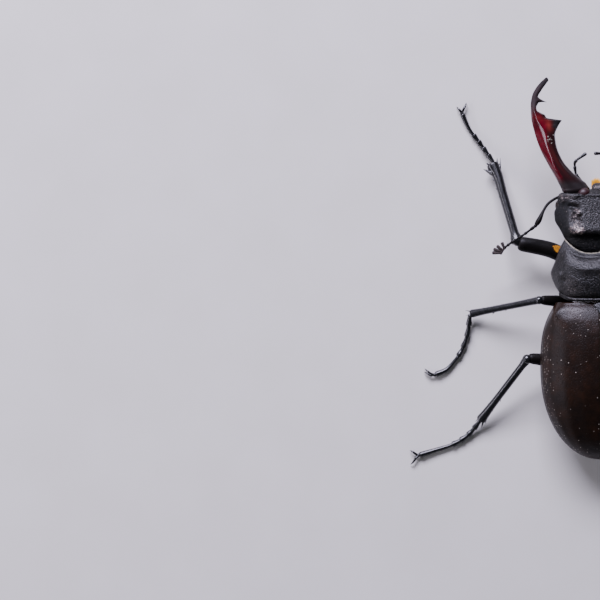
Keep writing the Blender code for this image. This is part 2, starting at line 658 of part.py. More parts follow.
def main():
    for stale in list(bpy.data.objects):
        bpy.data.objects.remove(stale)
    beetle = bpy.data.objects.new("beetle", None)
    beetle.location = (0, FRAME_SHIFT_Y * MM, 0)
    bpy.context.scene.collection.objects.link(beetle)

    rooms = {which: [] for which in LEGS}
    for which in LEGS:
        for side, word in SIDES:
            rooms[which] += add_leg(which, side, word, beetle)

    neck_at, head_at = (0, NECK_Y[0], HEAD_SIDE_Z), (0, HEAD_Y[1], HEAD_SIDE_Z)
    neck = add_room("neck", head(*NECK_Y, 4, PLATE_GAP), neck_at, beetle)
    shield = add_room("scutellum", scutellum(PLATE_GAP), (0, 0, 0), beetle)
    face = []
    for side, word in SIDES:
        eye, jaw = on_side(EYE, side), on_side(JAW_SOCKET, side)
        face.append(add_room("eye_" + word, ellipsoid(eye, EYE_RADII, SOCKET_GAP), eye, beetle))
        face.append(add_room("jaw_" + word, ellipsoid(jaw, JAW_SOCKET_RADII), jaw, beetle))
        add_piece("eye_" + word, ellipsoid(eye, EYE_RADII), "eye", eye, beetle)
        add_piece("mandible_" + word, mandible(side), "crimson horn", jaw, beetle)
        add_piece("antenna_scape_" + word, scape(side), "black cuticle", on_side(SCAPE[0], side), beetle)
        add_piece("antenna_club_" + word, antenna_club(side), "black cuticle", on_side(FUNICLE[0], side), beetle)
        add_piece("palp_" + word, palp(side), "black cuticle", PALPS[side][0], beetle)
        hinge = on_side((SCUTELLUM_HALF_WIDTH, ELYTRA_BASE_Y, ELYTRA_TOP[0][1]), side)
        add_piece("elytron_" + word, elytron(side), "chestnut wing case", hinge, beetle, [shield])

    add_piece("head", head(*HEAD_Y, 11), "granular black cuticle", head_at, beetle, face)
    add_piece("clypeus", clypeus(), "black cuticle", (0, CLYPEUS[0][0], CLYPEUS[0][2]), beetle)
    add_piece("mouth_brush", mouth_brush(), "amber bristle", MOUTH_BRUSH[0], beetle)
    back = (0, PRONOTUM_REAR_Y, PRONOTUM_MARGIN[-1][1])
    add_piece("pronotum", pronotum(), "granular black cuticle", back, beetle, [neck])
    add_piece("prosternum", prosternum(), "black cuticle", back, beetle, [neck, *rooms["front"], *rooms["middle"]])
    add_piece("scutellum", scutellum(), "black cuticle", (0, 0, 0), beetle)
    waist = [shield, *rooms["middle"], *rooms["hind"]]
    add_piece("metathorax", trunk(*THORAX_Y, 5), "black cuticle", (0, THORAX_Y[0], 0), beetle, waist)
    add_piece("abdomen", trunk(*ABDOMEN_Y, 9), "black cuticle", (0, ABDOMEN_Y[0], 0), beetle, rooms["hind"])


main()
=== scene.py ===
import functools
import math
import random

import bmesh
import bpy
from mathutils import Matrix, Vector, noise


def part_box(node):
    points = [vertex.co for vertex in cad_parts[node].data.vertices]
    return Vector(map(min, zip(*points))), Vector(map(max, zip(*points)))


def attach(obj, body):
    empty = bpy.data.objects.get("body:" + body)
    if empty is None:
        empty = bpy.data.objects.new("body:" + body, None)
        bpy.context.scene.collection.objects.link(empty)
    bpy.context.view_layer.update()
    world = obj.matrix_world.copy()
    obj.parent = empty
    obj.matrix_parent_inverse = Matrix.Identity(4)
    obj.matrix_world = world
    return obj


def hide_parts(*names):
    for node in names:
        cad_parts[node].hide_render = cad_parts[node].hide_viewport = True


# The looks of a male stag beetle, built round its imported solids.
# Pieces are drawn in millimetres in the body's own frame: +X is the beetle's left, -Y is forward, +Z is up
# from the ground, and Y = 0 is where the pronotum meets the wing cases. addPiece turns them to metres.

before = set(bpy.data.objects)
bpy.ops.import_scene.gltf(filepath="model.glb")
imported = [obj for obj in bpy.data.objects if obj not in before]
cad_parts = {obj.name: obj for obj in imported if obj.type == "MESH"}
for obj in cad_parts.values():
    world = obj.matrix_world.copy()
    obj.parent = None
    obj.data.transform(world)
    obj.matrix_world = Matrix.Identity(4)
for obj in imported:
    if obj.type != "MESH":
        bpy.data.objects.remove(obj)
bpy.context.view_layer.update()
mm = 0.001
sides = {"left": 1, "right": -1}
random.seed(7)

elytronBox = [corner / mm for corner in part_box("elytron_left")]
elytronFront = 0.25  # where the wing cases start in the body's frame
shiftY = elytronBox[0].y - elytronFront  # from the body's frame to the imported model's


# ---- shapes ----

@functools.lru_cache(maxsize=None)
def through(table, t):  # the value at t of a smooth curve through (t, value) pairs
    places, values = zip(*table)
    t = min(max(t, places[0]), places[-1])
    i = max(k for k in range(len(table) - 1) if places[k] <= t)
    slopes = [(values[k + 1] - values[k]) / (places[k + 1] - places[k]) for k in range(len(table) - 1)]

    def tangent(k):
        if k in (0, len(slopes)):
            return slopes[min(k, len(slopes) - 1)]
        before, after = slopes[k - 1], slopes[k]
        return 0 if before * after <= 0 else 2 * before * after / (before + after)

    step = places[i + 1] - places[i]
    s = (t - places[i]) / step
    return (
        values[i] * (1 + 2 * s) * (1 - s) ** 2
        + values[i + 1] * s * s * (3 - 2 * s)
        + step * (tangent(i) * s * (1 - s) ** 2 - tangent(i + 1) * s * s * (1 - s))
    )


def curve(*table):  # that curve as a function of t
    return functools.partial(through, table)


def smoothLine(points):  # a function from 0..1 to a smooth curve through a few points
    last = len(points) - 1
    axes = [tuple((k / last, value) for k, value in enumerate(values)) for values in zip(*points)]
    return lambda t: Vector([through(axis, t) for axis in axes])


def stretch(path, start, end):  # a stretch of a path as a path of its own
    return lambda t: path(start + (end - start) * t)


def rise(start, end, x):  # 0 before start, 1 after end, smooth between
    s = min(max((x - start) / (end - start), 0.0), 1.0)
    return s * s * (3 - 2 * s)


def hump(x, centre, width):
    return math.exp(-(((x - centre) / width) ** 2))


def nearLine(x, y, start, end, width):  # a hump along a straight stretch of the plan
    a, b = Vector(start), Vector(end)
    p = Vector((x, y))
    s = min(max((p - a).dot(b - a) / (b - a).length_squared, 0.0), 1.0)
    return math.exp(-(((p - a.lerp(b, s)).length / width) ** 2))


def creases(x, y, table):  # the sum of such humps, each with its height first
    return sum(height * nearLine(x, y, *line) for height, *line in table)


def spots(x, y, table):  # the sum of rounded spots, each a height and its middle and width in x and in y
    return sum(height * hump(x, *across) * hump(y, *onward) for height, across, onward in table)


def roundOff(share):  # how far a quarter of a circle has risen at this share of its run
    return math.sqrt(max(0.0, 1 - (1 - min(share, 1)) ** 2))


def plateGrow(outer, end, thick):  # how far this side of a plate lies inside its outer face near a round end
    return (roundOff(end) - 1 if outer else -1 - roundOff(end)) * thick / 2


def onArch(half, height, turn, power):  # a point (x, z) of a flattened arch; turn 0 is its crown
    s = math.sin(turn)
    return half * s, height * max(0.0, 1 - abs(s) ** power) ** (1 / power)


def mappedGrid(around, rows, place, marks=None):
    # a grid whose corner at (u, v) goes to place(u, v). Each mark, a function of (u, v) too, becomes an
    # attribute that materials read
    bm = bmesh.new()
    bmesh.ops.create_grid(bm, x_segments=around, y_segments=rows, size=0.5)
    layers = {name: bm.verts.layers.float.new(name) for name in marks or {}}
    for vert in bm.verts:
        u, v = round(vert.co.x + 0.5, 7), round(vert.co.y + 0.5, 7)
        for name, layer in layers.items():
            vert[layer] = marks[name](u, v)
        vert.co = place(u, v)
    bmesh.ops.remove_doubles(bm, verts=bm.verts, dist=0.0004)
    bmesh.ops.recalc_face_normals(bm, faces=bm.faces)
    return bm


def sweep(path, width, height, around, rows, cap):
    # a limb: ovals square to a path, drawn in over the share cap at each end
    step = 0.01

    def place(u, v):
        ahead = (path(min(v + step, 1)) - path(max(v - step, 0))).normalized()
        across = ahead.cross(Vector((0, 0, 1))).normalized()
        up = across.cross(ahead)
        turn = math.tau * u
        swell = roundOff(min(v, 1 - v) / cap)
        return path(v) + (across * width(v) * math.cos(turn) + up * height(v) * math.sin(turn)) * swell
    return mappedGrid(around, rows, place)


def joined(meshes):  # several bmeshes as one
    whole = bmesh.new()
    for bm in meshes:
        part = bpy.data.meshes.new("part")
        bm.to_mesh(part)
        bm.free()
        whole.from_mesh(part)
        bpy.data.meshes.remove(part)
    return whole


def ball(centre, radii, around, rows):
    bm = bmesh.new()
    bmesh.ops.create_uvsphere(bm, u_segments=around, v_segments=rows, radius=1, calc_uvs=False)
    bmesh.ops.scale(bm, vec=radii, verts=bm.verts)
    bmesh.ops.translate(bm, vec=centre, verts=bm.verts)
    return bm


def spikes(specs, around=3, rows=4, taper=0.7):
    # joined tapering spikes: hairs, bristles or thorns. Each spec is (root, way, bend, length, radius, spot),
    # and the map OFBake gives each one a small patch round its spot (u, v)
    patch = 0.003
    bm = mappedGrid(around, rows, lambda u, v: Vector((math.cos(math.tau * u), math.sin(math.tau * u), v)))
    if around > 3:
        bmesh.ops.holes_fill(bm, edges=[e for e in bm.edges if e.is_boundary], sides=0)
    spike = bpy.data.meshes.new("spike")
    bm.to_mesh(spike)
    bm.free()
    bm = bmesh.new()
    bake = bm.loops.layers.uv.new("OFBake")
    for spec in specs:
        bm.from_mesh(spike)
    count, faceCount = len(spike.vertices), len(spike.polygons)
    bm.verts.ensure_lookup_table()
    bm.faces.ensure_lookup_table()
    for i, (root, way, bend, length, radius, spot) in enumerate(specs):
        way = way.normalized()
        across = way.orthogonal().normalized()
        up = way.cross(across)
        for face in bm.faces[i * faceCount:(i + 1) * faceCount]:
            for loop in face.loops:
                x, y, s = loop.vert.co
                turn = (math.atan2(y, x) / math.tau) % 1
                loop[bake].uv = (spot[0] + patch * (turn - 0.5), spot[1] + patch * (s - 0.5))
        for vert in bm.verts[i * count:(i + 1) * count]:
            x, y, s = vert.co
            thick = radius * max(0.04, (1 - s) ** taper)
            vert.co = root + way * length * s + bend * length * s * s + (across * x + up * y) * thick
    bpy.data.meshes.remove(spike)
    return bm


def skinAt(place, u, v):  # point, outward normal and the way towards larger v on a mapped skin
    step = 0.002
    overU = place(min(u + step, 1), v) - place(max(u - step, 0), v)
    overV = place(u, min(v + step, 1)) - place(u, max(v - step, 0))
    return place(u, v), overU.cross(overV).normalized(), overV.normalized()


def addPiece(name, bm, finish, nodes=()):
    bmesh.ops.translate(bm, vec=(0, shiftY, 0), verts=bm.verts)
    bmesh.ops.scale(bm, vec=(mm, mm, mm), verts=bm.verts)
    mesh = bpy.data.meshes.new(name)
    bm.to_mesh(mesh)
    bm.free()
    mesh.shade_smooth()
    mesh.materials.append(finish)
    piece = bpy.data.objects.new(name, mesh)
    bpy.context.scene.collection.objects.link(piece)
    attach(piece, "root")
    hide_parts(*nodes)


# ---- materials ----

def linear(hexColour):  # an sRGB hex colour as the linear RGBA that nodes want
    channels = [int(hexColour[k:k + 2], 16) / 255 for k in (1, 3, 5)]
    return (*[c / 12.92 if c <= 0.04045 else ((c + 0.055) / 1.055) ** 2.4 for c in channels], 1)


def pitch(size):  # the scale of a pattern whose cells are this many millimetres wide
    return 1 / (size * mm)


def plug(tree, node, inputs):  # links a node or a socket, and sets a number or a hex colour
    for name, value in inputs.items():
        if isinstance(value, bpy.types.Node):
            value = next(socket for socket in value.outputs if socket.enabled)
        if isinstance(value, bpy.types.NodeSocket):
            tree.links.new(value, node.inputs[name])
        else:
            node.inputs[name].default_value = linear(value) if isinstance(value, str) else value


def addNode(tree, kind, inputs=None, stops=(), **settings):
    node = tree.nodes.new("ShaderNode" + kind)
    for name, value in settings.items():
        setattr(node, name, value)
    plug(tree, node, inputs or {})
    for place, shade in stops:
        node.color_ramp.elements.new(place).color = linear(shade)
    if stops:  # a new ramp starts with two stops of its own
        node.color_ramp.elements.remove(node.color_ramp.elements[0])
        node.color_ramp.elements.remove(node.color_ramp.elements[-1])
    return node


def newMaterial(name):  # the material, its tree, its shader and the coordinates that patterns are drawn on
    made = bpy.data.materials.new(name)
    made.use_nodes = True
    tree = made.node_tree
    return made, tree, tree.nodes["Principled BSDF"], addNode(tree, "TexCoord").outputs["Object"]


def dustGrains(tree, at, size, wobble, ragged, edge):
    # grains of bark dust with ragged edges, in the share of cells that a piece's mark "dust" gives; also the
    # random colour of each cell
    blur = addNode(tree, "TexNoise", {"Vector": at, "Scale": pitch(wobble), "Detail": 1.0})
    cells = addNode(tree, "TexVoronoi", {"Vector": at, "Scale": pitch(size)})
    reach = addNode(tree, "Math", {0: blur, 1: ragged, 2: cells}, operation="MULTIPLY_ADD")
    near = addNode(tree, "MapRange", {"Value": reach, "From Min": edge[0], "From Max": edge[1]})
    chance = addNode(tree, "SeparateColor", {"Color": cells.outputs["Color"]})
    dustAndHighlight = addNode(tree, "Attribute", attribute_name="dust_and_highlight").outputs["Fac"]
    picked = addNode(tree, "Math", {0: chance.outputs["Red"], 1: dustAndHighlight}, operation="LESS_THAN")
    return addNode(tree, "Math", {0: near, 1: picked}, operation="MULTIPLY"), chance


def granularCuticle():
    # Insect cuticle, sclerotised and densely granular: the head and pronotum look matt slate black, because
    # each grain breaks up the gloss. Real grains are 0.1 mm apart; they are drawn at 0.28 mm, over finer
    # ones, each coloured lighter on top and darker round its foot: painted highlight and painted shade. Fine
    # dust lies on it in films, which also carry painted highlights and a painted sheen; stray pale specks are
    # painted glints as well as dust. It is smoother where it is worn.
    made, tree, shader, at = newMaterial("granular cuticle")
    grains = addNode(tree, "TexVoronoi", {"Vector": at, "Scale": pitch(0.28)})
    small = addNode(tree, "TexVoronoi", {"Vector": at, "Scale": pitch(0.16)})
    cloud = addNode(tree, "TexNoise", {"Vector": at, "Scale": pitch(1.6), "Detail": 5.0, "Roughness": 0.6})
    # lighter on each grain's top and darker between the grains: painted highlight and painted shade
    base = addNode(tree, "ValToRGB", {"Fac": grains}, [(0.05, "#1b1b1e"), (0.3, "#0b0b0d"), (0.6, "#020202")])
    speck = addNode(tree, "TexNoise", {"Vector": at, "Scale": pitch(0.32), "Detail": 4.0, "Roughness": 0.75})
    grip = addNode(tree, "MapRange", {"Value": speck, "From Min": 0.42, "From Max": 0.7})
    # the film's colour runs with the noise from bluish grey through brown to pinkish white; the pinkish white
    # also paints highlights and glints, and the bluish grey a painted sheen
    film = addNode(tree, "ValToRGB", {"Fac": grip}, [(0.0, "#3e3e44"), (0.45, "#77675f"), (0.8, "#e0d2cc")])
    patchy = addNode(tree, "Math", {0: grip, 1: 0.5}, operation="ADD")
    grit = addNode(tree, "TexNoise", {"Vector": at, "Scale": pitch(0.24), "Detail": 1.0})
    # stray pale specks: painted glints on the grains, and dust
    glintAndDustSpecks = addNode(tree, "MapRange", {"Value": grit, "From Min": 0.66, "From Max": 0.74, "To Max": 0.18})
    dustAndHighlight = addNode(tree, "Attribute", attribute_name="dust_and_highlight").outputs["Fac"]
    cover = addNode(tree, "Math", {0: dustAndHighlight, 1: patchy, 2: glintAndDustSpecks}, operation="MULTIPLY_ADD", use_clamp=True)
    colour = addNode(tree, "Mix", {"Factor": cover, "A": base, "B": film}, data_type="RGBA")
    worn = addNode(tree, "Attribute", attribute_name="worn").outputs["Fac"]
    uneven = addNode(tree, "MapRange", {"Value": cloud, "From Min": 0.3, "From Max": 0.7,
                                        "To Min": 0.29, "To Max": 0.42})
    rough = addNode(tree, "Math", {0: worn, 1: 0.5, 2: uneven}, operation="MULTIPLY_ADD")
    relief = addNode(tree, "MapRange", {"Value": worn, "To Min": 0.7, "To Max": 0.15})
    fine = addNode(tree, "Bump", {"Height": small, "Distance": 0.06 * mm, "Strength": relief}, invert=True)
    coarse = addNode(tree, "Bump", {"Height": grains, "Distance": 0.07 * mm, "Strength": relief,
                                    "Normal": fine}, invert=True)
    plug(tree, shader, {"Base Color": colour, "Roughness": rough, "Normal": coarse, "IOR": 1.56,
                        "Specular IOR Level": 0.3})
    return made


def satinWingCase():
    # Insect cuticle of the wing cases: dark chestnut pigment under a clear waxy layer, finely punctured, so
    # it shines like worn lacquer. Real punctures are 0.12 mm apart; they are drawn at 0.3 mm. Grains of bark
    # dust cling to it, most of them near the margins.
    made, tree, shader, at = newMaterial("satin wing case")
    pits = addNode(tree, "TexVoronoi", {"Vector": at, "Scale": pitch(0.3)})
    cloud = addNode(tree, "TexNoise", {"Vector": at, "Scale": pitch(2.5), "Detail": 6.0, "Roughness": 0.65})
    base = addNode(tree, "ValToRGB", {"Fac": cloud}, [(0.3, "#0e0603"), (0.52, "#180c05"), (0.74, "#261409")])
    grains, chance = dustGrains(tree, at, 0.4, 0.12, 0.22, (0.33, 0.25))
    shade = addNode(tree, "MapRange", {"Value": chance.outputs["Green"], "To Min": 0.08})
    amount = addNode(tree, "Math", {0: shade, 1: grains}, operation="MULTIPLY")
    colour = addNode(tree, "Mix", {"Factor": amount, "A": base, "B": "#bdb3a6"}, data_type="RGBA")
    worn = addNode(tree, "Attribute", attribute_name="worn").outputs["Fac"]
    rough = addNode(tree, "MapRange", {"Value": worn, "To Min": 0.31, "To Max": 0.48})
    dents = addNode(tree, "MapRange", {"Value": pits, "From Max": 0.45})
    fine = addNode(tree, "Bump", {"Height": dents, "Distance": 0.05 * mm, "Strength": 0.5})
    broad = addNode(tree, "Bump", {"Height": cloud, "Distance": 0.14 * mm, "Strength": 0.4, "Normal": fine})
    plug(tree, shader, {"Base Color": colour, "Roughness": rough, "Normal": broad, "IOR": 1.56,
                        "Specular IOR Level": 0.18})
    return made


def crimsonHorn():
    # Insect cuticle of the jaws: clear crimson pigment under a polished surface. It is brown towards the
    # inner edge, glows by the teeth, and is black where it is thickest: at the teeth, points and root. It
    # shines like polished horn, except the points, which use has scratched matt.
    made, tree, shader, at = newMaterial("crimson horn")
    cloud = addNode(tree, "TexNoise", {"Vector": at, "Scale": pitch(1.2), "Detail": 5.0, "Roughness": 0.6})
    grain = addNode(tree, "TexNoise", {"Vector": at, "Scale": pitch(0.16), "Detail": 3.0})
    reds = [(0.3, "#38000c"), (0.55, "#560013"), (0.75, "#6a001c")]
    colour = addNode(tree, "ValToRGB", {"Fac": cloud}, reds)
    for mark, shade in (("inner", "#270f12"), ("ember", "#7c2a26"), ("dark", "#100608")):
        amount = addNode(tree, "Attribute", attribute_name=mark).outputs["Fac"]
        colour = addNode(tree, "Mix", {"Factor": amount, "A": colour, "B": shade}, data_type="RGBA")
    grains = dustGrains(tree, at, 0.3, 0.1, 0.4, (0.68, 0.45))[0]
    colour = addNode(tree, "Mix", {"Factor": grains, "A": colour, "B": "#9c9a8c"}, data_type="RGBA")
    polish = addNode(tree, "MapRange", {"Value": amount, "To Min": 0.17, "To Max": 0.55})  # by "dark"
    dull = addNode(tree, "Attribute", attribute_name="dull").outputs["Fac"]
    rough = addNode(tree, "Math", {0: dull, 1: 0.32, 2: polish}, operation="MULTIPLY_ADD")
    fine = addNode(tree, "Bump", {"Height": grain, "Distance": 0.01 * mm, "Strength": 0.3})
    broad = addNode(tree, "Bump", {"Height": cloud, "Distance": 0.06 * mm, "Strength": 0.3, "Normal": fine})
    plug(tree, shader, {"Base Color": colour, "Roughness": rough, "Normal": broad, "IOR": 1.56,
                        "Specular IOR Level": 0.42})
    return made


def glossyCuticle():
    # Insect cuticle of the limbs: smooth, jet black and polished, with sparse pits where the bristles stand.
    made, tree, shader, at = newMaterial("glossy black cuticle")
    cloud = addNode(tree, "TexNoise", {"Vector": at, "Scale": pitch(0.9), "Detail": 2.0, "Roughness": 0.5})
    pits = addNode(tree, "TexVoronoi", {"Vector": at, "Scale": pitch(0.4)})
    base = addNode(tree, "ValToRGB", {"Fac": cloud}, [(0.3, "#060608"), (0.7, "#101013")])
    rough = addNode(tree, "MapRange", {"Value": cloud, "From Min": 0.3, "From Max": 0.7,
                                       "To Min": 0.21, "To Max": 0.28})
    dents = addNode(tree, "MapRange", {"Value": pits, "From Max": 0.25})
    fine = addNode(tree, "Bump", {"Height": dents, "Distance": 0.015 * mm, "Strength": 0.18})
    broad = addNode(tree, "Bump", {"Height": cloud, "Distance": 0.05 * mm, "Strength": 0.08, "Normal": fine})
    plug(tree, shader, {"Base Color": base, "Roughness": rough, "Normal": broad, "IOR": 1.56,
                        "Specular IOR Level": 0.65})
    return made


def punctateCuticle():
    # Insect cuticle of the underside, thighs and feelers: brown black and closely punctured, half shining
    # between its hairs. Real punctures are 0.15 mm apart; they are drawn at 0.3 mm.
    made, tree, shader, at = newMaterial("punctate black cuticle")
    cloud = addNode(tree, "TexNoise", {"Vector": at, "Scale": pitch(1.8), "Detail": 5.0, "Roughness": 0.6})
    pits = addNode(tree, "TexVoronoi", {"Vector": at, "Scale": pitch(0.3)})
    base = addNode(tree, "ValToRGB", {"Fac": cloud}, [(0.3, "#070504"), (0.7, "#0f0c0a")])
    dents = addNode(tree, "MapRange", {"Value": pits, "From Max": 0.4})
    fine = addNode(tree, "Bump", {"Height": dents, "Distance": 0.04 * mm, "Strength": 0.5})
    broad = addNode(tree, "Bump", {"Height": cloud, "Distance": 0.1 * mm, "Strength": 0.4, "Normal": fine})
    plug(tree, shader, {"Base Color": base, "Roughness": 0.46, "Normal": broad, "IOR": 1.56,
                        "Specular IOR Level": 0.15})
    return made


def bristle(name, root, tip):
    # Insect setae: single hollow chitin hairs, a little uneven in colour from one to the next.
    made, tree, shader, at = newMaterial(name)
    cloud = addNode(tree, "TexNoise", {"Vector": at, "Scale": pitch(0.5), "Detail": 2.0})
    colour = addNode(tree, "ValToRGB", {"Fac": cloud}, [(0.35, root), (0.65, tip)])
    plug(tree, shader, {"Base Color": colour, "Roughness": 0.5, "IOR": 1.55})
    return made


def velvetClub():
    # Insect cuticle of the antenna's club: dull brown under a velvet of sensory hairs too short to see
    # singly.
    made, tree, shader, at = newMaterial("velvet brown club")
    cloud = addNode(tree, "TexNoise", {"Vector": at, "Scale": pitch(0.25), "Detail": 3.0})
    base = addNode(tree, "ValToRGB", {"Fac": cloud}, [(0.3, "#1d1412"), (0.7, "#352623")])
    plug(tree, shader, {"Base Color": base, "Roughness": 0.8, "Sheen Weight": 0.25})
    return made


def facetedEye():
    # Compound eye: hexagonal lenses about 0.03 mm wide under one glossy dome, dark brown. The lenses are
    # drawn at 0.1 mm.
    made, tree, shader, at = newMaterial("compound eye")
    lenses = addNode(tree, "TexVoronoi", {"Vector": at, "Scale": pitch(0.1), "Randomness": 0.25})
    shade = addNode(tree, "ValToRGB", {"Fac": lenses}, [(0.0, "#241a12"), (0.5, "#120c09"), (0.8, "#080504")])
    domes = addNode(tree, "Bump", {"Height": lenses, "Distance": 0.02 * mm, "Strength": 0.6}, invert=True)
    plug(tree, shader, {"Base Color": shade, "Roughness": 0.24, "Normal": domes, "IOR": 1.5})
    return made


def floorPaper():
    # Matt paper board, pale warm grey, with the faint cloudiness of its fibres.
    made, tree, shader, at = newMaterial("pale board")
    cloud = addNode(tree, "TexNoise", {"Vector": at, "Scale": pitch(12), "Detail": 6.0})
    base = addNode(tree, "ValToRGB", {"Fac": cloud}, [(0.3, "#dcd9d4"), (0.7, "#e1deda")])
    plug(tree, shader, {"Base Color": base, "Roughness": 0.9})
    return made


matt = granularCuticle()
wingCase = satinWingCase()
horn = crimsonHorn()
gloss = glossyCuticle()
punctate = punctateCuticle()
velvet = velvetClub()
eyeFinish = facetedEye()
amber = bristle("amber bristle", "#f5ad00", "#ffd42a")
cream = bristle("cream bristle", "#8c8775", "#bcb6a3")
deepAmber = bristle("deep amber bristle", "#b36f06", "#d9951a")
tawny = bristle("tawny bristle", "#6b4a26", "#94703f")
brownBristle = bristle("brown bristle", "#0f0907", "#23150e")
print("materials made")


# ---- wing cases, thorax and abdomen ----

elytra = {
    "base": elytronFront, "length": 26.5, "widest": 0.4, "shoulder": 0.757,
    "halfWidth": elytronBox[1].x - 0.12,  # the box holds half the suture's gap
    # tables over the share of the length, from the front back
    "top": ((0, 10.95), (0.03, 11.5), (0.06, 11.88), (0.12, 12.44), (0.2, 12.88), (0.3, 13.0), (0.5, 12.8),
            (0.7, 11.7), (0.86, 9.9), (0.95, 8.0), (1, 6.2)),
    "margin": ((0, 7.5), (0.3, 6.7), (0.7, 6.2), (1, 5.6)),
    "thick": 0.5, "gap": 0.05, "lip": 0.012, "power": 2.3, "basePower": 3.3, "unevenness": 0.02,
    "rimWidth": 0.04, "rimRise": 0.06, "ribs": 4.5, "ribRise": 0.025,
    # the shoulder's knob and the dent beside it, in (share, t)
    "spots": ((0.28, (0.74, 0.1), (0.07, 0.045)), (-0.1, (0.52, 0.1), (0.06, 0.04))),
    "scratch": ((0.41, 0.425), (0.17, 0.365), 0.003),  # its two ends as (share, t), and its width
    "dust_and_highlight": 0.06,  # the share of places that hold a grain away from the margins
}


@functools.lru_cache(maxsize=None)
def elytraHalf(t):  # half the width of both wing cases at this share of their length
    if t < elytra["widest"]:
        return elytra["halfWidth"] * (1 - (1 - elytra["shoulder"]) * (1 - t / elytra["widest"]) ** 3)
    s = (t - elytra["widest"]) / (1 - elytra["widest"])
    return elytra["halfWidth"] * math.sqrt(max(0.0, 1 - s**2.15))


def elytronShare(v):  # share of the length at grid row v, packed towards the rounded tip
    if v < 0.5:
        return v / 0.5 * elytra["widest"]
    return elytra["widest"] + (1 - elytra["widest"]) * math.sin((v - 0.5) * math.pi)


def elytronRelief(share, t):  # share goes from the suture (0) to the margin (1)
    rim = elytra["rimRise"] * (rise(1 - elytra["rimWidth"], 1, share) - 0.6 * hump(share, 0.93, 0.03))
    suture = 0.05 * hump(share, 0.0, 0.02) - 0.04 * hump(share, 0.045, 0.018)
    ribs = elytra["ribRise"] * math.cos(share * math.tau * elytra["ribs"])
    ribs *= rise(0.05, 0.3, t) * rise(1.0, 0.8, t)
    start, end, width = elytra["scratch"]
    scratch = 0.03 * nearLine(share, t, start, end, width)
    return rim + suture + spots(share, t, elytra["spots"]) + ribs + scratch


def elytronPlace(side):
    lip = elytra["lip"]

    def place(u, v):
        outside = u <= 0.5
        share = u * 2 if outside else (1 - u) * 2
        t = elytronShare(min(max((v - lip) / (1 - lip), 0), 1))
        end = min(v / lip, 1)
        width, margin = elytraHalf(t), through(elytra["margin"], t)
        height = through(elytra["top"], t) - margin
        thick = min(elytra["thick"], 0.45 * width, 0.6 * height)
        grow = plateGrow(outside, end, thick)
        if outside:
            grow += elytronRelief(share, t) * rise(0, 1.5, width)
        power = elytra["power"] + (elytra["basePower"] - elytra["power"]) * (1 - rise(0, 0.2, t))
        x, z = onArch(max(width + grow, 0), max(height + grow, 0), share * math.pi / 2, power)
        bump = elytra["unevenness"] * noise.noise(Vector((x * 0.5, t * 13, side))) if outside else 0
        y = elytra["base"] + elytra["length"] * t - (1 - end) * thick / 2
        return Vector((side * (x + elytra["gap"] / 2), y, margin + z + bump))
    return place


def wingCaseDust(u, v):
    share = u * 2 if u <= 0.5 else 0
    t = elytronShare(v)
    start, end, width = elytra["scratch"]
    margins = rise(0.55, 0.82, share) * rise(0.1, 0.35, t) + 0.5 * rise(0.8, 1.0, t)
    return elytra["dust_and_highlight"] + margins + 0.9 * nearLine(share, t, start, end, 2 * width)


def wingCaseWear(u, v):
    share = u * 2 if u <= 0.5 else 0
    return rise(0.03, 0.2, elytronShare(v)) * (0.7 + 0.3 * rise(0.75, 0.95, share))


for word, side in sides.items():
    bm = mappedGrid(220, 190, elytronPlace(side), {"dust_and_highlight": wingCaseDust, "worn": wingCaseWear})
    addPiece("wingCase_" + word, bm, wingCase, [f"elytron_{word}"])

scutellum = {
    "half": 1.9, "length": 2.6, "front": -0.25, "crown": 11.35, "slope": 0.75, "thick": 0.5, "swell": 0.22,
}


def scutellumPlace(u, v):
    turn, reach = math.tau * u, math.sin(v * math.pi)
    x, back = math.cos(turn) * reach, math.sin(turn) * reach
    y = scutellum["front"] + (0.5 + 0.5 * back) * scutellum["length"]
    narrow = 1 - 0.42 * rise(0.2, 1.0, (back + 1) / 2)
    z = scutellum["crown"] + scutellum["slope"] * y / scutellum["length"] - 0.3 * x * x
    z += scutellum["swell"] * math.cos(v * math.pi) - (0 if v < 0.5 else scutellum["thick"])
    return Vector((x * scutellum["half"] * narrow, y, z))


addPiece("shield_scutellum", mappedGrid(72, 40, scutellumPlace), matt, ["scutellum"])

trunk = {
    "belly": ((0, 3.9), (0.06, 3.1), (0.35, 2.9), (0.6, 3.1), (0.82, 3.7), (1, 5.2)),
    "thorax": (-0.1, 10.4), "abdomen": (10.7, 26.2), "inset": 1.0, "cap": 0.03, "power": 2.6,
    "sternites": (12.6, 15.4, 18.2, 20.9, 23.4), "sterniteStep": 0.16,
}


def trunkPlace(name, relief):
    yStart, yEnd = trunk[name]

    def place(u, v):
        y = yStart + (yEnd - yStart) * v
        t = max(0.0, (y - elytra["base"]) / elytra["length"])
        margin = through(elytra["margin"], t)
        half = elytraHalf(t) - trunk["inset"]
        turn = math.tau * u
        if math.cos(turn) >= 0:
            height = through(elytra["top"], t) - margin - trunk["inset"]
            x, z = onArch(half, max(0.15, height), turn, elytra["power"])
        else:
            grow = relief(math.sin(turn), y)
            depth = margin - through(trunk["belly"], t)
            x, z = onArch(half - 0.2 + grow, depth + grow, turn, trunk["power"])
            z = -z
        swell = roundOff(min(v, 1 - v) / trunk["cap"])
        return Vector((x * swell, y, margin - 0.6 + (z + 0.6) * swell))
    return place


def thoraxRelief(side, y):
    middle = -0.12 * hump(side, 0, 0.02) - 0.1 * hump(y, 9.2, 0.12)
    return middle + 0.15 * hump(side, 0, 0.25) * rise(2, 6, y) - 0.12 * hump(abs(side), 0.62, 0.03)


def abdomenRelief(side, y):
    step = sum(rise(start - 0.9, start, y) - rise(start, start + 0.12, y) for start in trunk["sternites"])
    return trunk["sterniteStep"] * step - 0.1 * hump(abs(side), 0.86, 0.05)


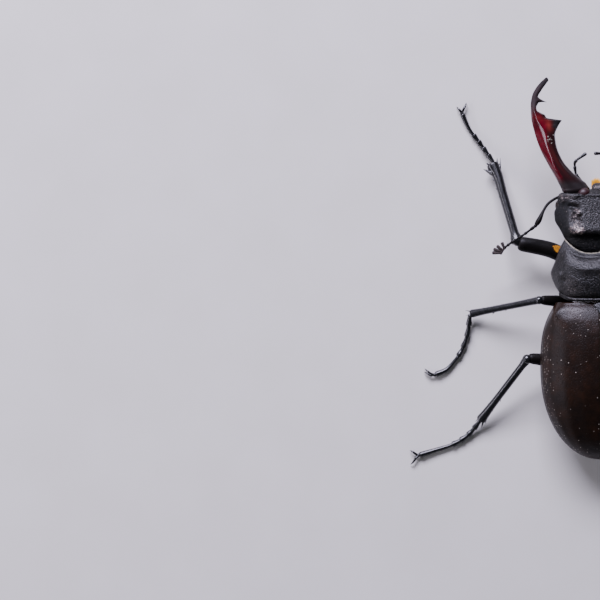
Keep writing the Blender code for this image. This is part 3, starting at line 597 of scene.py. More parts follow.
addPiece("breast_metathorax", mappedGrid(200, 90, trunkPlace("thorax", thoraxRelief)), punctate,
         ["metathorax"])
addPiece("belly_abdomen", mappedGrid(200, 140, trunkPlace("abdomen", abdomenRelief)), punctate, ["abdomen"])
print("wing cases and trunk made")


# ---- prothorax ----

prothorax = {
    "side": ((-10.6, 6.3), (-9.1, 7.08), (-7.6, 7.58), (-6.3, 8.08), (-5.6, 8.36), (-5.0, 8.5), (-4.3, 8.38),
             (-2.7, 7.75), (-1.9, 7.3), (-1.2, 7.0)),
    # its front edge has a shallow lobe in the middle and long corners, and its rear edge short corners
    "front": -8.35, "lobe": 0.25, "lobeHalf": 2.1, "corner": 2.25,
    "rear": -0.35, "rearFlat": 4.5, "rearCorner": 0.85,
    # tables over the share of the length, from the front back
    "ridge": ((0, 10.7), (0.2, 11.85), (0.36, 12.35), (0.5, 12.35), (0.85, 12.15), (1, 11.6)),
    "margin": ((0, 8.2), (0.5, 7.8), (1, 7.5)),
    "keel": ((0, 5.0), (0.3, 4.1), (0.7, 3.7), (1, 4.2)),
    "thick": 0.5, "edge": 0.4, "lip": 0.02, "power": 2.15, "beadWidth": 0.16, "beadRise": 0.17,
    # two dents and two swellings, in (millimetres from the middle, share of the length)
    "spots": ((-0.32, (6.6, 0.7), (0.6, 0.09)), (-0.05, (3.4, 1.6), (0.5, 0.08)),
              (0.2, (3.6, 2.4), (0.27, 0.13)), (0.14, (7.4, 0.5), (0.55, 0.06))),
    # a thin film of dust, and on the rear of each side a painted bluish sheen
    "dust_and_highlight": 0.012, "paintedSheenSpots": ((0.1, (5.6, 1.3), (0.75, 0.2)),),
    # the plate underneath, with a bulge between the front legs
    "underThick": 0.6, "underShare": 0.955, "underPower": 2.3, "bulge": ((0.5, (0, 0.8), (0.62, 0.3)),),
}


def prothoraxY(share, v):  # share goes from the middle (0) to the side edges (-1 and 1)
    halfFront, halfRear = prothorax["side"][0][1], prothorax["side"][-1][1]
    lobeHalf, rearFlat = prothorax["lobeHalf"], prothorax["rearFlat"]
    x = abs(share) * halfFront
    lobe = prothorax["lobe"] * (1 - math.cos(math.pi * min(x / lobeHalf, 1))) / 2
    corner = prothorax["corner"] * (max(0.0, x - lobeHalf) / (halfFront - lobeHalf)) ** 2.3
    x = abs(share) * halfRear
    rearCorner = prothorax["rearCorner"] * (max(0.0, x - rearFlat) / (halfRear - rearFlat)) ** 2
    return (1 - v) * (prothorax["front"] + lobe - corner) + v * (prothorax["rear"] - rearCorner)


def prothoraxHalf(v):
    first, last = prothorax["side"][0][0], prothorax["side"][-1][0]
    return through(prothorax["side"], first + (last - first) * v)


def pronotumRelief(share, v):
    half = prothoraxHalf(v)
    x = share * half
    fromSide = (1 - abs(share)) * half
    bead = hump(fromSide, 0, prothorax["beadWidth"]) - 0.3 * hump(fromSide, 0.42, 0.3)
    front = (0.12 * hump(v, 0.015, 0.02) - 0.12 * hump(v, 0.075, 0.03)) * rise(0.95, 0.7, abs(share))
    rear = 0.12 * hump(v, 0.99, 0.018) - 0.14 * hump(v, 0.95, 0.022)
    groove = -0.12 * hump(x, 0, 0.5) * rise(0.1, 0.3, v) * rise(0.95, 0.75, v)
    uneven = 0.012 * noise.noise(Vector((x * 0.9, v * 8, 3.0))) * rise(0.02, 0.1, v) * rise(0.98, 0.9, v)
    rises = prothorax["beadRise"] * bead + spots(abs(x), v, prothorax["spots"])
    return rises + front + rear + groove + uneven


def plateSpot(u, v):
    # where (u, v) is on a bent plate: whether on its outer face, the share of the turn round the arch (-1 to
    # 1), the share of the length, and how far from the nearer end, in lips that round the ends off
    lip = prothorax["lip"]
    outside = u <= 0.5
    share = u * 4 - 1 if outside else 3 - u * 4
    return outside, share, min(max((v - lip) / (1 - 2 * lip), 0), 1), min(v, 1 - v) / lip


def pronotumPlace(u, v):
    outside, share, back, end = plateSpot(u, v)
    half, edge = prothoraxHalf(back), prothorax["edge"]
    margin = through(prothorax["margin"], back)
    turn = share * math.pi / 2
    thick = prothorax["thick"]
    grow = plateGrow(outside, end, thick)
    if outside:
        grow += pronotumRelief(math.sin(turn), back)
    x, z = onArch(half + grow, through(prothorax["ridge"], back) - margin + grow, turn, prothorax["power"])
    y = prothoraxY(x / half, back) + (thick / 2) * (1 - min(end, 1)) * (1 if v > 0.5 else -1)
    hem = 0 if outside else -edge * abs(share) ** 12
    return Vector((x, y, margin + z + hem))


# the pronotum's film: dust, with a painted sheen on the rear of each side
def pronotumDustAndSheen(u, v):
    share = abs(u * 4 - 1) if u <= 0.5 else 0
    x = math.sin(share * math.pi / 2) * prothoraxHalf(v)
    cross = 0.03 * hump(v, 0.2, 0.12) + 0.06 * rise(0.85, 1, share)
    return prothorax["dust_and_highlight"] + cross + spots(x, v, prothorax["paintedSheenSpots"])


def prosternumPlace(u, v):
    outside, share, back, end = plateSpot(u, v)
    half = prothoraxHalf(back) * prothorax["underShare"]
    margin = through(prothorax["margin"], back) - prothorax["edge"] + 0.1
    turn = share * math.pi / 2
    grow = plateGrow(outside, end, prothorax["underThick"])
    if outside:
        grow += spots(math.sin(turn) * half, back, prothorax["bulge"])
    depth = margin - through(prothorax["keel"], back)
    x, z = onArch(half + grow, depth + grow, turn, prothorax["underPower"])
    return Vector((x, prothoraxY(x / half * 0.9, back), margin - z))


addPiece("pronotum_plate", mappedGrid(360, 110, pronotumPlace, {"dust_and_highlight": pronotumDustAndSheen}), matt, ["pronotum"])
addPiece("prosternum_plate", mappedGrid(200, 70, prosternumPlace), punctate, ["prosternum"])
print("prothorax made")


# ---- head ----

headSizes = {
    "y": (-18.9, -7.9),
    # tables over y
    "half": ((-18.9, 6.3), (-18.3, 7.3), (-17.5, 7.5), (-16.5, 7.6), (-15.2, 8.05), (-14.0, 7.95),
             (-12.4, 7.1), (-10.5, 6.1), (-7.9, 4.6)),
    "top": ((-18.9, 9.1), (-18.0, 9.75), (-16.0, 10.2), (-13.2, 10.8), (-12.1, 11.0), (-11.7, 10.85),
            (-10.9, 9.95), (-9.2, 9.7), (-7.9, 9.3)),
    "under": ((-18.9, 6.4), (-17.0, 5.2), (-14.0, 4.6), (-10.0, 4.8), (-7.9, 5.6)),
    "sideZ": 7.6, "topPower": 2.9, "underPower": 2.4, "frontShare": 0.1, "frontBulge": 0.35,
    # raised and sunk lines of the left half: height, the two ends as (x, y), and width
    "relief": (
        (0.16, (5.3, -15.6), (5.9, -13.4), 0.45),  # edge of the flat top
        (0.3, (5.9, -12.7), (4.3, -11.6), 0.45),  # crest at its rear
        (0.08, (4.3, -11.5), (0, -11.4), 0.45),
        (-0.45, (5.5, -16.2), (4.4, -15.95), 0.45),  # pit behind the jaw, and the ridge behind that
        (0.34, (4.9, -15.5), (4.1, -14.9), 0.28),
        (0.16, (0, -18.3), (4.2, -18.2), 0.4),  # front margin
        (0.22, (5.4, -12.9), (4.0, -12.2), 0.7),  # boss before the crest, and its dent
        (-0.12, (4.6, -13.9), (3.8, -13.5), 0.4),
        (0.4, (7.0, -18.1), (6.65, -17.2), 0.3),  # canthus before the eye
        (0.2, (6.3, -18.4), (4.6, -18.1), 0.5),
    ),
    "dish": ((-0.08, (0, 3.2), (-14.4, 1.9)),),  # the hollow of the forehead
    "throat": (
        (-0.14, (1.7, -14.9), (1.2, -8.6), 0.16),  # throat seam
        (0.2, (4.6, -16.5), (3.4, -11.0), 1.1),  # swollen cheek beside it
    ),
    # pale film along lines, each a height, its two ends as (x, y) and a width: dust behind the ridge, then a
    # painted highlight where the pit's rear wall catches the light, and painted highlights on the canthus and
    # the front corner, which face the light
    "dust_and_highlight": (
        (0.3, (4.9, -14.4), (4.4, -13.2), 0.7),
        (0.9, (4.65, -15.55), (4.15, -15.25), 0.22),
        (0.3, (7.0, -18.1), (6.7, -17.3), 0.25),
        (0.22, (6.3, -17.9), (5.4, -17.7), 0.4),
    ),
    "patches": (((4.9, -12.4), 0.95, 0.55), ((3.9, -12.1), 0.85, 0.5)),  # pale patches: middle, radius, core
    "eye": (7.0, -16.4, 7.6), "eyeRadii": (0.92, 1.1, 1.05),
    "jawSocket": (4.45, -18.95, 7.75), "jawRadii": (2.5, 0.8, 1.75),
}


def headY(v):  # the rows before frontShare are the front face
    front, rear = headSizes["y"]
    cap = headSizes["frontShare"]
    return front + (rear - front) * max(0.0, v - cap) / (1 - cap)


def headRelief(x, y):
    x = abs(x)
    slope = -0.2 * rise(5.5, 6.9, x) * rise(-17.0, -16.0, y) * rise(-11.4, -12.6, y)
    uneven = 0.02 * noise.noise(Vector((x * 0.8, y * 0.8, 5.0)))
    return creases(x, y, headSizes["relief"]) + spots(x, y, headSizes["dish"]) + slope + uneven


def throatRelief(x, y):  # the chin plate under the mouth, and the lines beside it
    x = abs(x)
    return 0.35 * rise(3.3, 3.0, x) * rise(-14.9, -15.2, y) + creases(x, y, headSizes["throat"])


def socketed(p):  # a point of the head, moved back where a jaw's root needs a hollow
    x, y, z = headSizes["jawSocket"]
    wide, deep, high = headSizes["jawRadii"]
    for side in sides.values():
        q = Vector(((p.x - side * x) / wide, (p.y - y) / deep, (p.z - z) / high))
        if q.x**2 + q.z**2 < 1 and q.y < 1:
            p.y = max(p.y, y + deep * math.sqrt(1 - q.x**2 - q.z**2))
    return p


def headPlace(u, v):
    cap = headSizes["frontShare"]
    y = headY(v)
    half, middle = through(headSizes["half"], y), headSizes["sideZ"]
    turn = math.tau * u
    over = math.cos(turn) >= 0
    if over:
        x, z = onArch(half, through(headSizes["top"], y) - middle, turn, headSizes["topPower"])
    else:
        x, z = onArch(half, middle - through(headSizes["under"], y), turn, headSizes["underPower"])
        z = -z
    if v < cap:  # the front face, drawn in to its middle
        k = v / cap
        x, z, y = x * k, 0.1 + (z - 0.1) * k, y - headSizes["frontBulge"] * (1 - k**3)
    if over:
        z += headRelief(x, y) * rise(0.1, 0.75, z / 2.5) * (1 if v >= cap else (v / cap) ** 6)
    elif v >= cap:
        z -= throatRelief(x, y) * rise(0.1, 0.75, -z / 2.0)
    return socketed(Vector((x, y, middle + z)))


# the head's pale film: dust, pale patches, and painted highlights on its lit ridge and corners
def headDustAndHighlights(u, v):
    if math.cos(math.tau * u) < 0:
        return 0.02
    y = headY(v)
    x = abs(math.sin(math.tau * u)) * through(headSizes["half"], y)
    patches = sum(rise(reach, core, (Vector((x, y)) - Vector(middle)).length)
                  for middle, reach, core in headSizes["patches"])
    film = 0.03 * rise(5.6, 4.8, x) * rise(-11.4, -12.0, y)
    return min(1.0, patches) + film + creases(x, y, headSizes["dust_and_highlight"])


def headWear(u, v):  # the temples and the underside are smoother than the forehead
    front, rear = headSizes["y"]
    y = front + (rear - front) * v
    x = abs(math.sin(math.tau * u)) * through(headSizes["half"], y)
    under = rise(0.1, -0.2, math.cos(math.tau * u))
    return max(0.7 * under, rise(5.4, 6.2, x) * rise(-17.6, -16.8, y))


headMarks = {"dust_and_highlight": headDustAndHighlights, "worn": headWear}
addPiece("head_capsule", mappedGrid(300, 160, headPlace, headMarks), matt, ["head"])

for word, side in sides.items():
    x, y, z = headSizes["eye"]
    bm = ball((side * x, y, z), headSizes["eyeRadii"], 48, 32)
    addPiece("eyeDome_" + word, bm, eyeFinish, [f"eye_{word}"])

clypeusSizes = {
    "y": (-18.7, -20.3),
    # tables over the share of its length, from the head forward
    "half": ((0, 1.75), (0.3, 1.75), (0.63, 1.7), (1, 1.25)),
    "top": ((0, 9.1), (0.3, 9.15), (0.63, 8.95), (1, 8.3)),
    "under": ((0, 7.7), (0.3, 7.7), (0.63, 7.6), (1, 7.4)),
    "boxy": 0.75, "cap": 0.16, "endWidth": 0.75, "fall": 0.12,  # fall is how much its sides hang down
}


def clypeusPlace(u, v):
    start, stop = clypeusSizes["y"]
    half, top, under = (through(clypeusSizes[name], v) for name in ("half", "top", "under"))
    swell = roundOff(min(v, 1 - v) / clypeusSizes["cap"])
    x, z = (math.copysign(abs(part) ** clypeusSizes["boxy"], part)
            for part in (math.sin(math.tau * u), math.cos(math.tau * u)))
    x *= half
    height = (top + under) / 2 + z * swell * (top - under) / 2 - clypeusSizes["fall"] * x * x
    endWidth = clypeusSizes["endWidth"]
    return Vector((x * (endWidth + (1 - endWidth) * swell), start + (stop - start) * v, height))


# pale specks on the top of the plate: painted glints as well as dust
def clypeusDustAndGlints(u, v):
    return 0.35 * hump(v, 0.45, 0.25) * rise(0, 0.6, math.cos(math.tau * u))


addPiece("clypeus_plate", mappedGrid(64, 40, clypeusPlace, {"dust_and_highlight": clypeusDustAndGlints}), matt, ["clypeus"])


# ---- jaws ----

jaw = {
    # the left jaw's outer and inner edges seen from above, at tenths of its length
    "outer": ((6.8, -19.15), (7.8, -21.0), (9.2, -23.4), (10.5, -25.9), (11.5, -28.7), (12.1, -31.3),
              (12.2, -33.3), (11.95, -34.9), (11.3, -36.1), (10.45, -37.15), (9.35, -38.15)),
    "inner": ((2.1, -19.35), (4.3, -21.3), (6.7, -24.0), (7.75, -26.4), (8.2, -28.9), (9.6, -31.4),
              (10.9, -33.2), (11.0, -34.6), (10.5, -35.8), (9.85, -36.75), (9.1, -37.75)),
    # tables over the share of its length
    "depth": ((0, 3.4), (0.12, 3.0), (0.3, 2.5), (0.5, 2.1), (0.7, 1.4), (0.9, 0.95), (1, 0.6)),
    "height": ((0, 7.8), (0.3, 8.7), (0.6, 9.3), (0.85, 9.1), (1, 8.6)),
    # the upper side has a flat facet, tilted outward: where its middle lies from the outer edge (0) to the
    # inner edge (1), half its breadth, both along the jaw, and the tangent of its tilt
    "facet": ((0, 0.3), (0.13, 0.3), (0.26, 0.43), (0.36, 0.445), (0.43, 0.41), (0.47, 0.37), (0.6, 0.36)),
    "facetHalf": ((0, 0.015), (0.25, 0.02), (0.33, 0.035), (0.38, 0.055), (0.43, 0.06), (0.48, 0.02),
                  (0.6, 0.015)),
    "facetTilt": 0.67, "facetLift": 0.9,
    # shapes of the inner edge: share where each starts, its point, its end, its reach, and how hollow its two
    # flanks are. In order: the knob at the root, the median tooth, a denticle, the notch and the fork tooth
    "teeth": ((-0.02, 0.05, 0.13, 0.4, 1.6, 1), (0.37, 0.47, 0.49, 2.3, 1.7, 1.1),
              (0.506, 0.517, 0.528, 0.14, 1, 1), (0.505, 0.55, 0.625, -0.75, 1.6, 1),
              (0.628, 0.672, 0.716, 1.65, 1.7, 1.6)),
    "wider": 0.1,  # how much each edge is set out towards the point
    # where the red glows and where dust lies, in (share of the width, share of the length)
    "ember": ((1, (0.74, 0.13), (0.44, 0.035)), (0.4, (0.45, 0.2), (0.49, 0.02)),
              (0.2, (0.6, 0.14), (0.22, 0.1))),
    "dust_and_highlight": ((0.8, (0.7, 0.15), (0.35, 0.024)),),
    # the share of the rows that turn the root in to its socket or draw in the point, and the socket's middle
    "root": 0.05, "point": 0.015, "rootMiddle": (4.45, -19.25, 7.8),
    # a condyle at the inner corner of the root, which rolls in the front of the head
    "condyle": (3.15, -18.45, 8.85), "condyleRadii": (1.1, 1.0, 1.0), "condyleDark": 0.85,
}
outerEdge, innerEdge = smoothLine(jaw["outer"]), smoothLine(jaw["inner"])


@functools.lru_cache(maxsize=None)
def toothReach(t):
    total = 0.0
    for start, point, end, reach, rootward, tipward in jaw["teeth"]:
        if start < t <= point:
            total += reach * ((t - start) / (point - start)) ** rootward
        elif point < t < end:
            total += reach * ((end - t) / (end - point)) ** tipward
    return total


def jawShare(v):  # share of the length at grid row v; the first rows are the root
    return max(0.0, (v - jaw["root"]) / (1 - jaw["root"]))


def jawAcross(u):  # share of the width at grid column u, from the outer edge to the inner
    return (1 - math.cos(math.tau * u)) / 2


def facetLift(s, t, width, reach, deep):  # height over the jaw's middle plane at s, from the outer edge over
    middle, half = through(jaw["facet"], t), through(jaw["facetHalf"], t)
    across = (1 - math.cos(math.pi * middle)) / 2
    run = (width + 3 * reach * across**2) * math.pi / 2 * math.sin(math.pi * middle)
    slope = jaw["facetTilt"] * run / deep
    start, stop = middle - half, middle + half
    crest = stop + 0.1
    if s < start:  # the rounded outer side
        low, steeper = jaw["facetLift"] - slope * half, 1.25 * slope
        bend = (steeper * start - low) / start**2
        return (2 * low / start - steeper) * s + bend * s * s
    if s < stop:
        return jaw["facetLift"] + slope * (s - middle)
    high = jaw["facetLift"] + slope * half
    top = high + 0.025 * slope
    if s < crest:
        return top - (top - high) * ((crest - s) / (crest - stop)) ** 2
    return top * (1 - ((s - crest) / (1 - crest)) ** 2.3)


def jawPlace(side):
    def place(u, v):
        t = jawShare(v)
        outer, inner = outerEdge(t), innerEdge(t)
        wider = (inner - outer).normalized() * jaw["wider"] * rise(0.66, 0.84, t)
        outer, inner = outer - wider, inner + wider
        turn, across = math.tau * u, jawAcross(u)
        tooth = toothReach(t)
        flat = outer.lerp(inner, across) + (inner - outer).normalized() * tooth * across**3
        deep = through(jaw["depth"], t) / 2
        lift = math.sin(turn)
        if lift > 0:
            facet = rise(0.04, 0.14, t) * rise(0.64, 0.5, t)
            wide = (inner - outer).length
            lift += facet * (facetLift(turn / math.pi, t, wide, max(tooth, 0.0), deep) - lift)
        hollow = -0.1 * hump(across, 0.84, 0.1) * rise(0, 0.7, lift) * rise(0.04, 0.2, t) * rise(0.9, 0.5, t)
        thin = 1 - 0.5 * min(1, abs(tooth) / 1.5) * across**3
        p = Vector((side * flat.x, flat.y, through(jaw["height"], t) + deep * (lift * thin + hollow)))
        if v < jaw["root"]:
            k = v / jaw["root"]
            x, y, z = jaw["rootMiddle"]
            middle = Vector((side * x, y, z))
            p = middle + (p - middle) * math.sin(k * math.pi / 2) ** 0.35 + Vector((0, 1 - k, 0))
        if v > 1 - jaw["point"]:
            x, y = (outer + inner) / 2
            tip = Vector((side * x, y, through(jaw["height"], t)))
            p = tip + (p - tip) * roundOff((1 - v) / jaw["point"])
        return p
    return place


def jawDark(u, v):
    t, across = jawShare(v), jawAcross(u)
    below = 0.75 * rise(-0.2, -0.8, math.sin(math.tau * u))
    tooth = rise(0.66, 0.9, across) * rise(0.3, 1.0, toothReach(t)) * rise(0.2, 0.3, t)
    root = 0.55 * rise(0.3, 0.9, across) * rise(0.3, 0.1, t)
    return min(1.0, max(0.9 * rise(0.12, 0.03, t), 0.8 * rise(0.5, 0.63, t), rise(0.72, 0.9, t),
                        tooth, root, below))


def jawInner(u, v):
    t = jawShare(v)
    edge = min(0.12 + 1.15 * t, 0.8)
    return max(rise(edge - 0.08, edge + 0.12, jawAcross(u)), 0.75 * rise(0.47, 0.56, t))


def jawEmber(u, v):
    return spots(jawAcross(u), jawShare(v), jaw["ember"])


def jawDust(u, v):
    return spots(jawAcross(u), jawShare(v), jaw["dust_and_highlight"]) * rise(-0.1, 0.3, math.sin(math.tau * u))


def jawDull(u, v):  # the point is scratched matt
    return rise(0.52, 0.66, jawShare(v))


def condylePlace(side):
    def place(u, v):
        x, y, z = jaw["condyle"]
        wide, long, high = jaw["condyleRadii"]
        turn, ring = math.tau * u, math.sin(math.pi * v)
        return Vector((side * x + wide * ring * math.cos(turn), y + long * ring * math.sin(turn),
                       z + high * math.cos(math.pi * v)))
    return place


jawMarks = {"dark": jawDark, "inner": jawInner, "ember": jawEmber, "dust_and_highlight": jawDust, "dull": jawDull}
condyleMarks = {"dark": lambda u, v: jaw["condyleDark"]}
for word, side in sides.items():
    blade = mappedGrid(112, 420, jawPlace(side), jawMarks)
    condyle = mappedGrid(32, 20, condylePlace(side), condyleMarks)
    addPiece("jaw_" + word, joined([blade, condyle]), horn, [f"mandible_{word}"])
print("head and jaws made")


# ---- feelers and mouth ----

feeler = {
    "scape": ((6.7, -18.1, 7.1), (7.7, -17.7, 7.4), (9.1, -16.75, 7.85), (10.0, -15.4, 8.15),
              (10.6, -14.1, 8.3), (11.3, -12.95, 8.3)),
    "stalk": ((11.3, -12.95, 8.3), (13.3, -11.45, 7.9), (15.6, -9.95, 7.5), (16.7, -9.0, 7.4),
              (17.1, -8.35, 7.3)),
    # radii over the share of a joint's length
    "scapeRadius": ((0, 0.24), (0.55, 0.24), (0.85, 0.45), (1, 0.34)),
    "firstRadius": ((0, 0.2), (0.5, 0.29), (1, 0.2)),
    "jointRadius": ((0, 0.18), (0.4, 0.2), (0.8, 0.27), (1, 0.2)),
    "leafWidth": ((0, 0.2), (0.4, 0.25), (0.85, 0.3), (1, 0.27)),
    "leafHeight": ((0, 0.3), (0.5, 0.45), (1, 0.42)),
    "joints": 6, "stalkShare": 0.68, "overlap": 0.012, "elbow": 0.3,
    "leaves": ((1.152, (0.35, -0.94), 0.1), (1.296, (0.8, -0.6), 0.0), (1.536, (0.95, -0.3), -0.1),
               (1.536, (1.0, -0.05), -0.15)),  # length, heading and lift of each leaf of the comb
    "leavesStart": 0.7, "leafRoot": (0.27, 0.27, 0.3),
}
palps = {
    "left": ((3.0, -20.3, 6.0), (4.3, -22.0, 6.3), (4.5, -23.6, 6.6), (2.5, -25.4, 6.8)),
    "right": ((-3.0, -20.3, 6.0), (-3.3, -22.4, 6.3), (-1.2, -25.3, 6.7), (1.3, -25.3, 6.9)),
    "joints": ((0, 0.32), (0.3, 0.59), (0.575, 0.79), (0.775, 1.0)),  # where each starts and ends
    "radius": ((0, 0.2), (0.5, 0.25), (0.85, 0.3), (1, 0.23)),
}


def antenna(side):
    def mirrored(points):
        return smoothLine([(side * x, y, z) for x, y, z in points])

    scape, stalk = mirrored(feeler["scape"]), mirrored(feeler["stalk"])
    thick = curve(*feeler["scapeRadius"])
    scapeMesh = sweep(scape, thick, thick, 20, 40, 0.06)
    beads = [ball(stalk(0), [feeler["elbow"]] * 3, 16, 12)]
    length = feeler["stalkShare"] / feeler["joints"]
    for k in range(feeler["joints"]):
        thick = curve(*feeler["jointRadius" if k else "firstRadius"])
        joint = stretch(stalk, k * length, (k + 1) * length + feeler["overlap"])
        beads.append(sweep(joint, thick, thick, 16, 14, 0.08))
    leaves = []
    first, last = feeler["leavesStart"], len(feeler["leaves"]) - 1
    wide, high = curve(*feeler["leafWidth"]), curve(*feeler["leafHeight"])
    for k, (long, (x, y), lift) in enumerate(feeler["leaves"]):
        at = stalk(first + (1 - first) * k / last)
        way = Vector((side * x, y, lift)).normalized()
        leaves.append(sweep(smoothLine([at, at + way * long]), wide, high, 20, 24, 0.16))
        leaves.append(ball(at, feeler["leafRoot"], 16, 12))
    return scapeMesh, joined(beads), joined(leaves)


def palpMesh(points):
    path, thick = smoothLine(points), curve(*palps["radius"])
    return joined([sweep(stretch(path, start, end), thick, thick, 16, 18, 0.1)
                   for start, end in palps["joints"]])


for word, side in sides.items():
    scapeMesh, stalkMesh, combMesh = antenna(side)
    addPiece("scape_" + word, scapeMesh, punctate, [f"antenna_scape_{word}"])
    addPiece("stalk_" + word, stalkMesh, punctate, [f"antenna_club_{word}"])
    addPiece("comb_" + word, combMesh, velvet, ())
    addPiece("feelerPalp_" + word, palpMesh(palps[word]), gloss, [f"palp_{word}"])

brush = {
    "pad": (0, -19.6, 6.6), "padRadii": (1.3, 0.9, 0.4),
    "y": (-19.0, -20.3), "half": 1.45, "z": 6.55, "hairs": 3000, "length": 1.15, "radius": 0.03,
}
hairs = []
for k in range(brush["hairs"]):
    a, b = random.uniform(-1, 1), random.random()
    y = brush["y"][0] + (brush["y"][1] - brush["y"][0]) * b
    root = Vector((a * brush["half"], y, brush["z"] + random.uniform(-0.1, 0.3) * (1 - a * a)))
    way = Vector((a * 0.6 + random.uniform(-0.2, 0.2), -1, random.uniform(-0.45, 0.45)))
    long = brush["length"] * random.uniform(0.45, 1.1) * (0.72 + 0.28 * hump(abs(a), 0.5, 0.35))
    spot = (0.5 + 0.45 * a, 0.05 + 0.9 * b)
    hairs.append((root, way, Vector((-0.25 * a, 0, -0.2)), long, brush["radius"], spot))
addPiece("mouthBrush_pad", ball(brush["pad"], brush["padRadii"], 32, 20), amber, ["mouth_brush"])
addPiece("mouthBrush_hairs", spikes(hairs), amber, ())
print("feelers and mouth made")


# ---- legs ----

legs = {  # of the left side; "swing" turns a right leg, in degrees
    "front": {
        "coxa": (3.0, -6.2, 3.9), "coxaRadii": (2.1, 1.5, 1.5), "bend": (8.6, -9.0, 4.6),
        "knee": (14.1, -10.1, 5.0), "ankle": (17.95, -24.0, 1.35),
        "tarsus": ((20.15, -27.2, 0.62), (22.2, -30.0, 0.45), (23.15, -32.1, 0.5)),
        # radii: the thigh's at its root, belly and knee, the shin's where it is slim, in the middle and broad
        "femur": (1.25, 1.36, 1.28), "tibia": (0.74, 0.78, 1.05), "stout": 1.12, "lean": 0.35, "swing": -4,
        # heading from the foot's line in degrees and length of each claw, and how far their points curl
        "claws": ((22, 0.8), (-58, 1.35)), "curl": (0, 0), "knob": 0.6,
        # thorns of the shin: distance before the ankle, side (outer 1), length, how far it stands out, radius
        "thorns": ((1.85, 1, 1.25, 1.7, 0.6), (0.7, 1, 0.55, 0.9, 0.5), (1.8, -1, 1.6, 0.45, 0.32),
                   (0.4, -1, 0.5, 0.4, 0.25), (3.4, 1, 0.42, 1.1, 0.22), (5.1, 1, 0.34, 1.1, 0.2),
                   (6.6, 1, 0.28, 1.1, 0.18)),
    },
    "middle": {
        "coxa": (2.9, 1.7, 3.4), "coxaRadii": (1.8, 1.4, 1.2), "bend": (6.8, -0.15, 4.7),
        "knee": (10.3, -0.4, 6.3), "ankle": (22.0, 2.0, 1.3),
        "tarsus": ((22.3, 4.9, 0.62), (23.2, 7.9, 0.45), (24.6, 10.1, 0.42), (26.1, 11.65, 0.42),
                   (27.6, 12.3, 0.5)),
        "femur": (0.85, 1.0, 0.82), "tibia": (0.6, 0.56, 0.7), "stout": 1.2, "lean": 0, "swing": -6,
        "claws": ((-28, 1.1), (-50, 1.15)), "curl": (0, -0.55), "knob": 0.88,
        "thorns": ((0.5, 1, 0.75, 0.6, 0.18), (0.35, -1, 0.7, 0.5, 0.15), (0.2, 0.3, 0.6, 0.2, 0.12),
                   (4.6, 1, 0.5, 1.0, 0.17), (6.9, 1, 0.36, 1.0, 0.15)),
    },
    "hind": {
        "coxa": (3.3, 10.3, 3.4), "coxaRadii": (2.5, 1.3, 1.1), "bend": (7.6, 10.0, 4.7),
        "knee": (12.4, 9.5, 6.0), "ankle": (20.3, 20.4, 1.3),
        "tarsus": ((22.2, 22.7, 0.62), (24.8, 24.4, 0.45), (27.8, 25.4, 0.42), (30.4, 26.2, 0.5)),
        "femur": (0.95, 1.15, 0.95), "tibia": (0.62, 0.62, 0.85), "stout": 1.2, "lean": 0, "swing": 0,
        "claws": ((42, 1.35), (-62, 1.1)), "curl": (0, 0), "knob": 0.88,
        "thorns": ((0.4, 1, 0.9, 0.5, 0.26), (1.2, 1, 0.65, 0.8, 0.22), (0.3, -1, 0.5, 0.3, 0.16),
                   (5.6, 1, 0.4, 1.0, 0.16)),
    },
}
thighFlat = 0.82  # a thigh's height over its width
hip = {"radii": (0.85, 0.7, 0.6), "reach": 0.8, "inward": 0.1, "drop": 0.25}  # where the thigh joins
foot = {
    "joints": (0, 0.13, 0.26, 0.385, 0.51, 1.0), "overlap": 0.012,  # shares of the foot's length
    "bead": ((0, 0.28), (0.35, 0.32), (0.8, 0.43), (0.95, 0.43), (1, 0.34)),
    "lastBead": ((0, 0.25), (0.25, 0.28), (0.6, 0.34), (0.93, 0.4), (1, 0.33)),
    "clawLength": 1.3, "clawStart": 0.3, "clawZ": 0.48, "clawRoot": (0.34, 0.34, 0.28),
    "clawRadius": ((0, 0.22), (0.3, 0.22), (0.7, 0.14), (1, 0.03)),
    "spurLength": 0.7, "spurRadius": 0.1, "bristleLength": 1.0, "bristleRadius": 0.03, "spread": 0.25,
}
legHair = {"shin": 70, "shinRadius": 0.02, "foot": 90, "footRadius": 0.018, "lowest": 0.06}


def legJoints(which, side):
    sizes = legs[which]
    hub = Vector(sizes["coxa"])
    swing = Matrix.Rotation(math.radians(sizes["swing"]) if side < 0 else 0.0, 3, "Z")

    def placed(point):
        p = hub + swing @ (Vector(point) - hub)
        return Vector((side * p.x, p.y, p.z))

    joints = {name: placed(sizes[name]) for name in ("coxa", "bend", "knee", "ankle")}
    joints["toes"] = [placed(p) for p in sizes["tarsus"]]
    joints["out"] = (joints["bend"] - joints["coxa"]).normalized()
    joints["hip"] = joints["coxa"] + joints["out"] * sizes["coxaRadii"][0] * hip["reach"]
    return joints


def coxaMesh(sizes, joints):
    knob = joints["hip"] - Vector((0, 0, hip["drop"])) - joints["out"] * hip["inward"]
    return joined([ball(joints["coxa"], sizes["coxaRadii"], 40, 28), ball(knob, hip["radii"], 28, 18)])


def thighLine(joints):
    return smoothLine([joints["hip"], joints["bend"], joints["knee"]])


def thighRadius(sizes, share=1):
    root, belly, knee = (radius * share for radius in sizes["femur"])
    return curve((0, root * 0.85), (0.15, root), (0.45, belly), (0.9, knee), (1, knee * 0.8))


